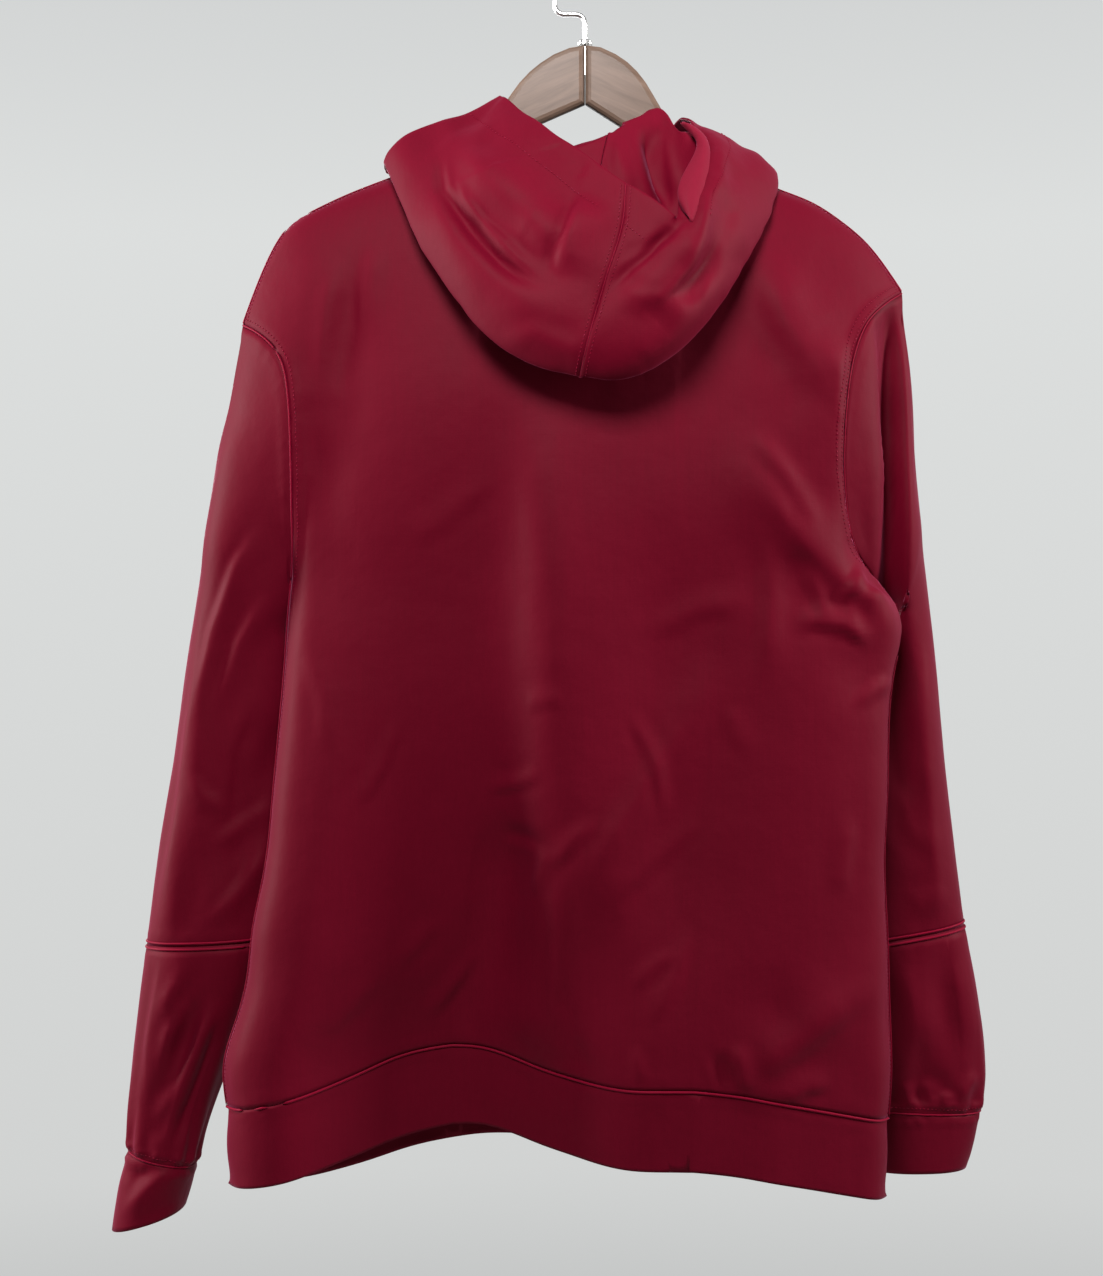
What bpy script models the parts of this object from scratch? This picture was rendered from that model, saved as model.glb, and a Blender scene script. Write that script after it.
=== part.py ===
"""Pullover hoodie on a wooden coat hanger.

The garment hangs as it would on a rail: +Z is up, its front faces -Y and its back +Y, and the wearer's left
side is at +X. The origin is the top of the hook's inner bend, where a rail carries the hanger.
Lengths in the tables are millimetres; meshes are made in metres.
"""
import math

import bmesh
import bpy
import numpy as np
from mathutils.bvhtree import BVHTree

MM = 0.001
CRIMSON = (0.115, 0.008, 0.027)
WOOD_BROWN = (0.28, 0.20, 0.16)
STEEL = (0.72, 0.72, 0.73)

# ---------------------------------------------------------------- cloth, seams and mesh density
CLOTH = 2.0              # wall of one layer of double knit, with its loft
BAND_CLOTH = 3.0         # folded band and cuffs, two layers
SEAM_GAP = 0.3           # gap between two sewn pieces
SHOULDER_COLS = 7        # panel columns from armhole to neck
NECK_COLS = 12           # panel columns across the neck
ARM_ROWS = 12            # panel rows up the armhole
SIDE_ROWS = 12           # panel rows from waistband to underarm
ARM_CROWD = 1.5          # how much closer the rows stand near the shoulder
UPPER_ROWS = 11          # rings of cloth from armhole to forearm seam
GATHER_COLS = 2          # forearm columns for each column of the upper sleeve
HOOD_COLS = 25           # columns in each half of the hood

# ---------------------------------------------------------------- main sizes
NECK_HALF = 95.0         # half the neck width, on the shoulder line
NECK_BACK = 50.0         # how far the neck seam stands out at centre back
NECK_FRONT = 56.0        # and at centre front
NECK_BACK_DROP = 33.0    # centre back below the shoulder line
NECK_FRONT_DROP = 80.0   # centre front below the shoulder line
SIDE_TOP = -470.0        # nominal height of the underarm
SIDE_FOOT = -865.0       # nominal height of the waistband seam
FOLD_LIMIT = 0.3         # cosine below which two meeting walls keep their own directions
RIDGE_SPREAD = 36.0      # how fast the panels fall open below the shoulder ridge
RIDGE_RADIUS = 10.0      # rounding of the cloth over the hanger
NECK_FADE = 150.0        # how far below the neck the panel still follows its round
NECK_EDGE = 0.5          # columns this close to the neck's end still belong to the shoulder
SHOULDER_SPREAD = 1.35   # columns stand closer towards the armhole
NECK_EVEN = 0.4          # share of even spacing in the neck's columns, the rest crowds at its ends
BODY_POWER = 2.6         # superellipse that rounds the body's section towards its side folds
SHOULDER_DROP = 1.2      # how soon the rows take on the shoulder's slope
FOLD_START = 40.0        # folds reach full height this far below the shoulder
FOLD_FADE = 1.2          # how far a fold runs out past its ends, in half widths
PANEL_TOP = -200.0       # nominal height of the panels' top row in the depth tables
BAND_DRAW = 0.997        # the band's lower edge is this much narrower than its seam

# Shoulder line from the sleeve seam over the hanger and across the neck (x, z).
SHOULDER_LEFT = ((95, -135), (120, -149), (150, -161.5), (186, -176), (216, -192), (228, -201.4),
                 (238, -215), (245.5, -234), (253, -253), (259.9, -272))
SHOULDER_RIGHT = ((-95, -143), (-120, -157), (-146, -169.2), (-163, -175), (-194, -193.7), (-213, -209.7),
                  (-224.2, -224.2), (-234, -237), (-240.9, -247.7))

# Armholes from shoulder to underarm (x, y, z), on the back and on the front panel.
ARM_BACK_LEFT = (
    (259.9, 0, -272), (247, 13, -280), (234.5, 21, -291), (226, 26, -307), (222, 28, -330),
    (220.5, 28, -357), (220, 26, -386), (220, 23, -412), (220, 18, -440), (222, 8, -466))
ARM_FRONT_LEFT = (
    (259.9, 0, -272), (247, -13, -281), (235, -22, -294), (224, -28, -312), (217, -31, -336),
    (213, -32, -362), (212, -30, -390), (213, -26, -416), (216, -17, -443), (222, 8, -466))
ARM_BACK_RIGHT = (
    (-240.9, 0, -247.7), (-226, 16, -258), (-211.5, 28, -272), (-201, 37, -293), (-195, 42, -317),
    (-192, 44, -343), (-190.5, 43, -372), (-192, 38, -399), (-196, 31, -424), (-202, 23, -443),
    (-213, 8, -458))
ARM_FRONT_RIGHT = (
    (-240.9, 0, -247.7), (-228, -13, -258), (-215, -22, -272), (-205, -28, -292), (-199, -31, -318),
    (-196, -32, -346), (-195, -31, -374), (-197, -27, -402), (-200, -20, -428), (-204, -10, -445),
    (-213, 8, -458))

# Side folds of the body (nominal height, x left, y left, x right, y right).
SIDE_FOLDS = ((-470, 222, 8, -213, 8), (-489, 223.5, 9, -227, 8), (-505, 225, 9, -239, 8),
              (-530, 226.5, 9, -235.5, 8), (-561, 229, 10, -230.5, 9), (-632, 235.5, 11, -228, 9),
              (-685, 240.8, 12, -225.5, 10), (-730, 250, 13, -227.8, 10), (-771, 254.7, 14, -229, 10),
              (-800, 262, 15, -230, 10), (-824, 270, 15, -230.5, 10), (-845, 272.5, 15, -230.8, 10),
              (-865, 269.5, 15, -228.5, 10))

# Depth of the panels (y) at shares of the width, from the left fold to the right one.
STATIONS = (0.08, 0.18, 0.27, 0.38, 0.50, 0.58, 0.72, 0.87)
BACK_DEPTH = (
    # height, then y at each station
    (-200, 30, 40, 48, 54, 56, 56, 52, 44),
    (-300, 34, 46, 54, 60, 62, 62, 58, 50),
    (-400, 36, 50, 58, 62, 64, 64, 62, 54),
    (-500, 36, 48, 54, 58, 60, 60, 58, 48),
    (-600, 40, 44, 46, 48, 54, 55, 55, 46),
    (-700, 42, 38, 32, 32, 46, 52, 56, 46),
    (-800, 44, 30, 14, 12, 34, 52, 58, 48),
    (-865, 45, 25, 2, 0, 26, 53, 58, 46))
FRONT_DEPTH = (
    (-200, -26, -40, -46, -50, -52, -52, -48, -38),
    (-300, -26, -42, -50, -54, -56, -56, -52, -38),
    (-400, -24, -42, -52, -56, -58, -58, -54, -34),
    (-480, -18, -40, -50, -56, -58, -58, -54, -26),
    (-600, -16, -40, -50, -55, -58, -58, -52, -22),
    (-740, -14, -38, -48, -52, -56, -56, -50, -20),
    (-865, -14, -40, -46, -48, -54, -54, -48, -20))

# Waistband: heights (z) of its seam and of its lower edge at shares of the width.
BAND_STATIONS = (0.0, 0.08, 0.18, 0.27, 0.38, 0.50, 0.58, 0.72, 0.87, 1.0)
BAND_SEAM_BACK = (-862, -854, -840, -825, -821, -836, -841, -843, -857, -872)
BAND_EDGE_BACK = (-920, -913, -900, -887, -880, -893, -899, -902, -916, -931)
BAND_SEAM_FRONT = (-862, -862, -859, -847, -838, -841, -845, -851, -862, -872)
BAND_EDGE_FRONT = (-920, -923, -919, -907, -897, -901, -905, -911, -922, -931)
BAND_ROWS = 3

# Folds of the panels: two ends (x, z), half width, height (plus stands out), all in mm.
BACK_FOLDS = (
    (178, -262, 205, -420, 18, -5),      # soft trough beside the left armhole
    (197, -250, 205, -340, 14, 4),       # ridge off the left shoulder
    (32, -380, 30, -800, 20, 5),         # long upright ridge near the middle
    (-138, -250, -200, -380, 18, 5),     # ridge off the right shoulder
    (-232, -505, -130, -400, 20, 6),     # pulls from the right underarm
    (-222, -535, -150, -480, 16, -5),
    (-8, -690, -78, -566, 20, 4),        # slanting pull, lower right
    (-135, -825, -205, -785, 22, 8),     # puff above the waistband
    (-120, -835, -132, -785, 16, -5),
    (92, -800, 60, -680, 22, -7),        # hollow that runs down to the hem's wave
)
FRONT_FOLDS = (
    (120, -300, 150, -430, 20, 5),
    (-110, -300, -140, -420, 20, 5),
    (55, -250, 15, -420, 20, -4),
    (150, -520, 90, -660, 22, -6),
    (-150, -530, -90, -650, 22, -6),
    (20, -560, 40, -800, 20, 5),
    (-70, -640, -110, -820, 20, -5),
    (110, -700, 140, -830, 20, 5),
)

# Sleeves: sections from below the armhole to the cuff's edge.
LEFT_RINGS = (
    # outer point (x, z), inner point (x, z), y of the middle, half depths towards the back and the front
    (289, -427, 231, -508, -16, 31, 46), (303, -505, 225, -542, -26, 34, 46),
    (315.5, -590, 223, -608, -30, 35, 46), (328.5, -672, 227, -680, -30, 35, 44),
    (337.5, -745, 240, -741, -28, 35, 44), (341.5, -772, 246, -766, -28, 34, 43),
    (348.5, -832, 272, -832, -27, 32, 40), (351, -870, 290, -880, -24, 29, 36),
    (350, -902, 300, -914, -22, 28, 34), (358, -930, 303, -930, -22, 30, 34),
    (363, -963, 308, -947, -22, 32, 35))
RIGHT_RINGS = (
    (-257, -403, -240, -490, -25, 29, 50), (-267, -470, -228, -540, -40, 30, 46),
    (-277, -550, -211, -594, -49, 31, 44), (-287, -640, -196, -665, -54, 32, 44),
    (-299, -734, -194, -752, -57, 32, 42), (-307, -772, -196, -785, -59, 32, 40),
    (-315, -820, -202, -830, -61, 31, 38), (-317.5, -855, -209, -860, -62, 29, 35),
    (-313, -882, -216, -879, -62, 27, 32), (-309, -903, -219, -901, -62, 28, 32),
    (-302, -926, -222, -927, -62, 29, 32))
RING_SEAMS = (4, 8, 10)      # rows of the tables at the forearm seam, the cuff seam and the cuff's edge
HEAD_SHARES = (0.0, 0.34, 0.68)   # sleeve head: straight lines from the armhole to the first section
RING_POWER = 2.3             # superellipse that rounds the flattened sleeve
HEAD_ROWS = 3.0              # table rows over which the columns even out below the armhole
HEAD_EASE = 0.5              # how far the first ring's columns have left the armhole's spacing
FOREARM_SHARES = (0.0, 0.42, 0.70, 0.86, 0.95, 1.0)
GATHER_RISE = (0.0, 0.0, 0.35, 0.8, 1.0, 0.0)   # height of the gathers at those rings
GATHERS = 12                 # gathers round each cuff seam
GATHER_HEIGHT = 3.2
GATHER_DRIFT = 0.8           # how unevenly the gathers stand
CUFF_ROWS = 3
SLEEVE_FLAT = 18.0           # sleeve folds fade within this distance of its side edges
FRONT_FOLD_SHARE = 0.5       # folds on the sleeve's front, of the height on its back
LEFT_SLEEVE_FOLDS = (
    (262, -660, 236, -590, 12, -5), (300, -560, 282, -700, 14, 4), (312, -680, 322, -770, 9, 5),
    (300, -800, 318, -860, 9, -4), (258, -700, 282, -650, 10, -4), (322, -830, 300, -775, 8, 4))
RIGHT_SLEEVE_FOLDS = (
    (-260, -560, -270, -690, 14, 5), (-285, -800, -262, -860, 12, -4), (-250, -640, -240, -520, 12, -4))

# Hood, hanging down the back as a pouch. A row is one run of cloth from the neck seam to the rim: its angle
# round the neck from centre front, the crest above the neck seam, the bottom of the pouch, the near wall, the
# rim, how far the far wall and the near wall belly out, and half the thickness of the pouch's bottom edge.
HOOD_RUNS = (
    # angle, crest (x, y, z), bottom (x, y, z), near wall (x, y, z), rim (x, y, z), far, near, half edge
    (0, 0, -60, -209, 0, -62, -203, 0, -61, -192, 0, -58, -184, 0, 0, 2),
    (33, 54, -56, -187, 60, -66, -180, 57, -62, -163, 48, -53, -153, 0, 2, 3),
    (62, 88, -37, -149, 108, -45, -152, 84, -34, -124, 68, -24, -114, 0, 3, 5),
    (86, 98, -4, -129.5, 148, -5, -156.5, 80, -2, -113, 67, -2, -104, 0, 0, 4),
    (108, 94, 19, -132, 146, 19, -167, 78, 14, -114, 64, 12, -102, 0, 3, 6),
    (127, 79, 35, -140, 134, 37, -195, 70, 33, -126, 58, 24, -107, 2, 5, 4.5),
    (142, 61, 45, -148, 115, 53, -235, 56, 52, -141, 46, 39, -121, 2, 8, 5),
    (154, 43, 51, -155, 92, 66, -267, 41, 64, -154, 33, 51, -132, 2, 8, 5.5),
    (163, 28, 54, -157, 70, 75, -294, 22, 72, -170, 17, 62, -147, 2, 9, 5.5),
    (170, 10, 56, -157, 44, 81, -311, 4, 81, -187, 1, 72, -159, 3, 9, 5.5),
    (176, -8, 55, -148, 18, 85, -321, -16, 90, -204, -18, 83, -177, 6, 8, 5.5),
    (186, -24, 48, -138, -10, 87, -324.5, -37, 98, -217, -40, 93, -192, 9, 6, 5.5),
    (201, -40, 38, -129, -36, 86, -322, -57, 103, -227, -60, 99, -208, 9, 5, 5.5),
    (217, -56, 28, -121, -60, 82, -309, -75, 104, -221, -64, 94, -209, 5, 5, 5.5),
    (231, -67, 39, -139, -82, 75, -288, -83, 94, -197, -67, 78, -189, 4, 6, 5.5),
    (243, -79, 32, -137, -101, 66, -262, -89, 74, -171, -76, 63, -168, 5, 7, 5),
    (255, -89, 21, -137, -118, 54, -232, -92, 55, -150, -82, 47, -150, 4, 6, 4),
    (266, -98, 8, -138.5, -135, 36, -200, -91, 34, -133, -80, 27, -129, 1, 6, 4),
    (276, -101, -5, -138.5, -144.5, 10, -166, -88, 10, -123.5, -76, 8, -117, 0, 1, 3.8),
    (298, -91, -38, -150.5, -108, -46, -155, -84, -34, -129, -66, -24, -118, 0, 3, 5),
    (327, -54, -56, -189, -60, -66, -182, -57, -62, -165, -48, -53, -155, 0, 2, 3),
    (360, 0, -60, -209, 0, -62, -203, 0, -61, -192, 0, -58, -184, 0, 0, 2))
REST_REACH = 20.0            # layers farther apart than this are left as they are
REST_PASSES = 3
HOOD_OVER_PANEL = 3.2        # hood's lower layer above the panels
HOOD_OVER_HOOD = 6.3         # hood's upper layer above its lower one, outer face to outer face
HOOD_HEM_CLOTH = 3.0         # turned hem along the rim
HOOD_HEM_ROWS = 3
POUCH_TURN = 13.0            # length of the turn at the pouch's bottom edge
POUCH_UNDER = 0.3            # share of the edge's thickness that stands out below
CREST_WIDTH = 6.0            # width of the rounded fold where the cloth turns down from the neck
CREST_FLAT = 0.3             # how much of the fall the cloth takes in that width
POUCH_FULL = 60.0            # runs shorter than this below the near wall have a smaller turn
HOOD_FOLD_ENDS = (0.3, 0.6, 0.0)   # share of a fold at the near wall's first, last but one and last row
HOOD_FOLD_FROM = 10.0        # hood folds start this far behind the hanger
HOOD_FOLD_FULL = 20.0        # and are at full height after this much more
HOOD_SPAN_ROWS = (1, 1, 2, 2, 1, 1, 2, 3, 2)   # mesh rows between the neighbouring points of a run
SEAT_SPLITS = (1, 1, 1, 2, 2, 4, 4, 2, 2, 2, 2, 2)   # hood columns on each neck column, front to back
HOOD_FOLDS = (
    # two ends (x, z), half width, height
    (104, -140, 97, -178, 8, -4), (97, -178, 75, -208, 8, -6), (75, -208, 55, -233, 8, -7),
    (55, -233, 33, -246, 8, -7), (92, -160, 50, -190, 16, 4), (26, -235, 4, -195, 8, 5),
    (30, -222, -2, -212, 10, 4),
    (-60, -224, -38, -250, 7, -5), (-38, -250, -12, -262, 7, -5), (-90, -235, -72, -268, 7, -5),
    (-36, -262, -60, -268, 9, 5), (48, -296, -14, -306, 8, 4), (62, -285, 40, -262, 10, 4))

# ---------------------------------------------------------------- hanger
WOOD_THICK = 12.0
WOOD_ROUND = 4.5
WOOD_UNDER_CLOTH = 5.4       # wood lies this far under the cloth's outer ridge
WOOD_JOINT = 0.3
WOOD_COVERED = 102.0         # from here outwards the top edge follows the cloth's shoulder line
WOOD_STEP = 12.0
WOOD_CROWN_LEFT = (
    (1.0, -60.0), (12, -62.0), (24, -67.0), (34, -73.5), (42, -80.0), (50, -88.5), (56.5, -97.5),
    (65, -109.5), (77, -124.5), (90, -137))
WOOD_CROWN_RIGHT = (
    (-1.0, -60.0), (-12, -61.5), (-23.5, -66.8), (-32, -72.5), (-39.5, -79.7), (-46, -88.0),
    (-52, -98.0), (-59.5, -111.0), (-68, -123.5), (-77, -134), (-90, -145))
WOOD_APEX = -104.8           # top of the inner V
WOOD_FOOT_LEFT = ((207, -197), (199, -206), (160, -188), (110, -163), (60, -131))
WOOD_FOOT_RIGHT = ((-196, -204), (-188, -212.5), (-150, -195), (-104, -172), (-60, -143))
WIRE = 3.8
STEM_BOTTOM = -82.0
HOOK_STEP_Z = -36.0          # level of the wire's sideways step above the stem
HOOK_RADIUS = 21.0           # inner radius of the hook's arc
HOOK_ARC_END = 183.0         # degrees turned by the arc
HOOK_ARC_STEPS = 14
HOOK_BEND = 7.0              # radius of the two bends in the step
WIRE_PLAY = 0.3              # gap round the wire in the wood and the washer
STEM_HOLE = 40.0             # depth of the cutter for the stem's hole
WASHER_RADIUS = 5.5
WASHER_EDGE = 0.7            # its upper edge is this much narrower
WASHER_ROUND = 1.0
WASHER_HEIGHT = 3.5
WASHER_STEPS = 20
KEYS_PER_MM = 500            # points closer than 1/500 mm are the same seam point


def smooth(keys, values, at):
    """Smooth curve through values at rising keys, read at the places in at."""
    keys = np.asarray(keys, float)
    values = np.asarray(values, float)
    flat = values.reshape(len(keys), -1)
    step = np.diff(keys)[:, None]
    slope = np.diff(flat, axis=0) / step
    tangent = np.empty_like(flat)
    tangent[0] = slope[0]
    tangent[-1] = slope[-1]
    tangent[1:-1] = (slope[:-1] * step[1:] + slope[1:] * step[:-1]) / (step[:-1] + step[1:])
    at = np.clip(np.atleast_1d(np.asarray(at, float)), keys[0], keys[-1])
    span = np.clip(np.searchsorted(keys, at, side="right") - 1, 0, len(keys) - 2)
    width = step[span]
    u = ((at - keys[span])[:, None]) / width
    out = ((2 * u**3 - 3 * u**2 + 1) * flat[span] + (u**3 - 2 * u**2 + u) * width * tangent[span]
           + (-2 * u**3 + 3 * u**2) * flat[span + 1] + (u**3 - u**2) * width * tangent[span + 1])
    return out.reshape((len(at),) + values.shape[1:])


def along(points, shares, power=1.0):
    """Points of a smooth curve at shares of its length."""
    points = np.asarray(points, float)
    reach = np.concatenate(([0.0], np.cumsum(np.linalg.norm(np.diff(points, axis=0), axis=1))))
    return smooth(reach, points, np.asarray(shares) ** power * reach[-1])


def fold_height(x, z, folds):
    """Height of the folds at (x, z): soft troughs and ridges that fade at both ends."""
    total = np.zeros_like(x)
    for x0, z0, x1, z1, half_width, height in folds:
        run = np.hypot(x1 - x0, z1 - z0)
        ux = (x1 - x0) / run
        uz = (z1 - z0) / run
        lengthwise = (x - x0) * ux + (z - z0) * uz
        past = np.maximum(0, np.maximum(-lengthwise, lengthwise - run))
        across = (x - x0) * uz - (z - z0) * ux
        fade = (across / half_width) ** 2 + (past / (FOLD_FADE * half_width)) ** 2
        total = total + height * np.exp(-fade)
    return total


# ---------------------------------------------------------------- body panels
def shoulder_height(x):
    """Height of the shoulder line, across the neck as well."""
    line = sorted(SHOULDER_LEFT + SHOULDER_RIGHT)
    return smooth([p[0] for p in line], [p[1] for p in line], x)


def neck_seam(x, drop, depth):
    """Neck seam between the shoulder lines: its y and z at x."""
    inside = np.clip(1 - (np.asarray(x) / NECK_HALF) ** 2, 0, 1)
    left = SHOULDER_LEFT[0][1]
    right = SHOULDER_RIGHT[0][1]
    line = left + (right - left) * (NECK_HALF - np.asarray(x)) / (2 * NECK_HALF)
    return depth * np.sqrt(inside), line - drop * inside


def panel_shares():
    """Shares of the width for a panel's columns, with the neck points among them."""
    left = SHOULDER_LEFT[-1][0]
    right = SHOULDER_RIGHT[-1][0]
    neck_left = (left - NECK_HALF) / (left - right)
    neck_right = (left + NECK_HALF) / (left - right)
    rise = (np.arange(SHOULDER_COLS + 1) / SHOULDER_COLS) ** SHOULDER_SPREAD
    turn = np.linspace(0, math.pi, NECK_COLS + 1)
    crowded = (1 - np.cos(turn)) / 2
    across = neck_left + (neck_right - neck_left) * (crowded + NECK_EVEN * (turn / math.pi - crowded))
    return np.concatenate((neck_left * rise, across[1:-1], 1 - (1 - neck_right) * rise[::-1]))


def panel(arm_left, arm_right, depths, neck_drop, neck_depth, seam_heights, folds):
    """Outer surface of the back or front: rows from the waistband seam up, columns from left to right."""
    share = panel_shares()
    front = neck_depth < 0
    side_share = np.linspace(0, 1, SIDE_ROWS + 1)[:-1]
    side_nominal = SIDE_FOOT + (SIDE_TOP - SIDE_FOOT) * side_share
    fold_rows = sorted(SIDE_FOLDS)
    edges = smooth([r[0] for r in fold_rows], [r[1:] for r in fold_rows], side_nominal)
    rise = 1 - (1 - np.linspace(0, 1, ARM_ROWS + 1)) ** ARM_CROWD
    left_edge = along(arm_left[::-1], rise)
    right_edge = along(arm_right[::-1], rise)
    seam_z = smooth(BAND_STATIONS, seam_heights, share)
    top_x = arm_left[0][0] + (arm_right[0][0] - arm_left[0][0]) * share
    neck_y, neck_z = neck_seam(top_x, neck_drop, neck_depth)
    in_neck = np.abs(top_x) < NECK_HALF
    top_z = np.where(in_neck, neck_z, shoulder_height(top_x))
    top_y = np.where(in_neck, neck_y, 0.0)
    rounding = (1 - np.abs(2 * share - 1) ** BODY_POWER) ** (1 / BODY_POWER)
    station_round = (1 - np.abs(2 * np.array(STATIONS) - 1) ** BODY_POWER) ** (1 / BODY_POWER)
    table = sorted(depths)
    heights = [r[0] for r in table]
    rows = []
    for i in range(SIDE_ROWS + ARM_ROWS + 1):
        if i < SIDE_ROWS:
            nominal = side_nominal[i]
            x_left, y_left, x_right, y_right = edges[i]
            z_top = arm_left[-1][2] + (arm_right[-1][2] - arm_left[-1][2]) * share
            z = seam_z + (z_top - seam_z) * side_share[i]
        else:
            j = i - SIDE_ROWS
            nominal = SIDE_TOP + (PANEL_TOP - SIDE_TOP) * rise[j]
            x_left, y_left, z_left = left_edge[j]
            x_right, y_right, z_right = right_edge[j]
            line = z_left + (z_right - z_left) * share
            top_line = arm_left[0][2] + (arm_right[0][2] - arm_left[0][2]) * share
            z = line + rise[j] ** SHOULDER_DROP * (top_z - top_line)
        fall = np.maximum(top_z - z, 0)
        x = x_left + (x_right - x_left) * share
        edge_y = y_left + (y_right - y_left) * share
        depth_row = smooth(heights, [r[1:] for r in table], nominal)[0]
        full = depth_row / station_round
        bulge = smooth((0,) + STATIONS + (1,), np.concatenate((full[:1], full, full[-1:])), share)
        opened = 1 - np.exp(-np.sqrt(2 * RIDGE_RADIUS * fall) / RIDGE_SPREAD)
        collar = top_y * np.exp(-fall / NECK_FADE)
        target = collar + (bulge - collar) * opened
        y = edge_y + (target - edge_y) * rounding
        calm = np.clip(fall / FOLD_START, 0, 1) * rounding
        lift = fold_height(x, z, folds) * calm
        y = y - lift if front else y + lift
        rows.append(np.column_stack((x, y, z)))
    return np.array(rows)


def waistband(back_seam, front_seam):
    """Outer surface of the band: rows from its edge up, columns round the body, back first."""
    share = panel_shares()
    sides = []
    for seam, edge in ((back_seam, BAND_EDGE_BACK), (front_seam, BAND_EDGE_FRONT)):
        foot = seam.copy()
        foot[:, 2] = smooth(BAND_STATIONS, edge, share)
        middle_x = (seam[0, 0] + seam[-1, 0]) / 2
        foot[:, 0] = middle_x + (foot[:, 0] - middle_x) * BAND_DRAW
        sides.append((foot, seam))
    ring_foot = np.concatenate((sides[0][0], sides[1][0][-2:0:-1]))
    ring_seam = np.concatenate((sides[0][1], sides[1][1][-2:0:-1]))
    levels = []
    for i in range(BAND_ROWS + 1):
        share_up = i / BAND_ROWS
        levels.append(ring_foot + (ring_seam - ring_foot) * share_up)
    return np.array(levels)


# ---------------------------------------------------------------- sleeves
def ring(row, turn):
    """Closed section of a sleeve at the given angles: 0 is the outer edge, the back comes first."""
    outer_x, outer_z, inner_x, inner_z, middle_y, back, front = row
    outer = np.array((outer_x, middle_y, outer_z))
    inner = np.array((inner_x, middle_y, inner_z))
    cosine = np.cos(turn)
    sine = np.sin(turn)
    wide = np.sign(cosine) * np.abs(cosine) ** (2 / RING_POWER)
    deep = np.sign(sine) * np.abs(sine) ** (2 / RING_POWER) * np.where(sine > 0, back, front)
    points = (outer + inner) / 2 + wide[:, None] * (outer - inner) / 2
    points[:, 1] += deep
    return points


def sleeve(arm_back, arm_front, table, folds):
    """Upper sleeve, forearm and cuff: three grids of closed rings, from the shoulder down."""
    rise = 1 - (1 - np.linspace(0, 1, ARM_ROWS + 1)) ** ARM_CROWD
    back = along(arm_back[::-1], rise)[::-1]
    front = along(arm_front[::-1], rise)[::-1]
    armhole = np.concatenate((back, front[-2:0:-1]))
    even = np.linspace(0, math.pi, ARM_ROWS + 1)
    crowded = (1 - rise[::-1]) * math.pi
    rows = np.array(table, float)
    keys = np.arange(len(rows), dtype=float)
    cols = 2 * ARM_ROWS

    def turns(ease, count):
        half = crowded * (1 - ease) + even * ease
        closed = np.concatenate((half, 2 * math.pi - half[-2:0:-1], [2 * math.pi]))
        return np.interp(np.arange(count) / count * (len(closed) - 1), np.arange(len(closed)), closed)

    head = ring(rows[0], turns(HEAD_EASE, cols))
    upper = [armhole + (head - armhole) * share for share in HEAD_SHARES]
    for place in np.linspace(0, RING_SEAMS[0], UPPER_ROWS - len(HEAD_SHARES) + 1):
        ease = min(1.0, HEAD_EASE + place / HEAD_ROWS)
        upper.append(ring(smooth(keys, rows, place)[0], turns(ease, cols)))
    lower = []
    turn = turns(1.0, cols * GATHER_COLS)
    wave = 0.5 + 0.5 * np.cos(GATHERS * turn + GATHER_DRIFT * np.sin(2 * turn + 1))
    wave *= 0.7 + 0.3 * np.sin(3 * turn)
    for share, gather in zip(FOREARM_SHARES, GATHER_RISE):
        place = RING_SEAMS[0] + share * (RING_SEAMS[1] - RING_SEAMS[0])
        shape = ring(smooth(keys, rows, place)[0], turn)
        outward = shape - shape.mean(axis=0)
        outward[:, 2] = 0
        outward /= np.linalg.norm(outward, axis=1)[:, None]
        lower.append(shape + (GATHER_HEIGHT * gather * wave)[:, None] * outward)
    cuff = []
    for place in np.linspace(RING_SEAMS[1], RING_SEAMS[2], CUFF_ROWS):
        cuff.append(ring(smooth(keys, rows, place)[0], turn))
    cuff[0] = lower[-1]
    grids = [np.array(upper), np.array(lower), np.array(cuff)]
    for grid in grids[:2]:
        middle = grid.mean(axis=1)[:, None, :]
        side = np.sign(grid[:, :, 1] - middle[:, :, 1])
        lift = fold_height(grid[:, :, 0], grid[:, :, 2], folds)
        strength = np.clip(np.abs(grid[:, :, 1] - middle[:, :, 1]) / SLEEVE_FLAT, 0, 1)
        strength[side < 0] *= FRONT_FOLD_SHARE
        strength[0] = 0
        strength[-1] = 0
        grid[:, :, 1] += side * lift * strength
    return grids


# ---------------------------------------------------------------- hood
def hood_run(row, neck, outward):
    """One run of hood cloth from the neck seam to the rim."""
    crest = np.array(row[1:4])
    bottom = np.array(row[4:7])
    near = np.array(row[7:10])
    rim = np.array(row[10:13])
    far_belly, near_belly, edge_half = row[13:16]
    room = min(1.0, np.linalg.norm(bottom - near) / POUCH_FULL)
    to_crest = (crest - bottom) / np.linalg.norm(crest - bottom)
    to_near = (near - bottom) / np.linalg.norm(near - bottom)
    turn = POUCH_TURN * room
    half = edge_half * min(1.0, 1.3 * room)
    back_down = bottom - crest
    back_down[2] *= CREST_FLAT
    past_crest = crest + back_down / np.linalg.norm(back_down) * CREST_WIDTH * min(1.0, 1.5 * room)
    points = [neck, crest, past_crest, (crest + bottom) / 2 + outward * far_belly,
              bottom + to_crest * turn - outward * half * POUCH_UNDER, bottom,
              bottom + to_near * turn + outward * half * (2 - POUCH_UNDER),
              (bottom + near) / 2 + outward * (half + near_belly), near, rim]
    reach = np.concatenate(([0.0], np.cumsum(np.linalg.norm(np.diff(points, axis=0), axis=1))))
    places = [0.0]
    for a, b, count in zip(reach[:-1], reach[1:], HOOD_SPAN_ROWS):
        places.extend(a + (b - a) * np.arange(1, count + 1) / count)
    return smooth(reach, np.array(points), places)


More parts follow.
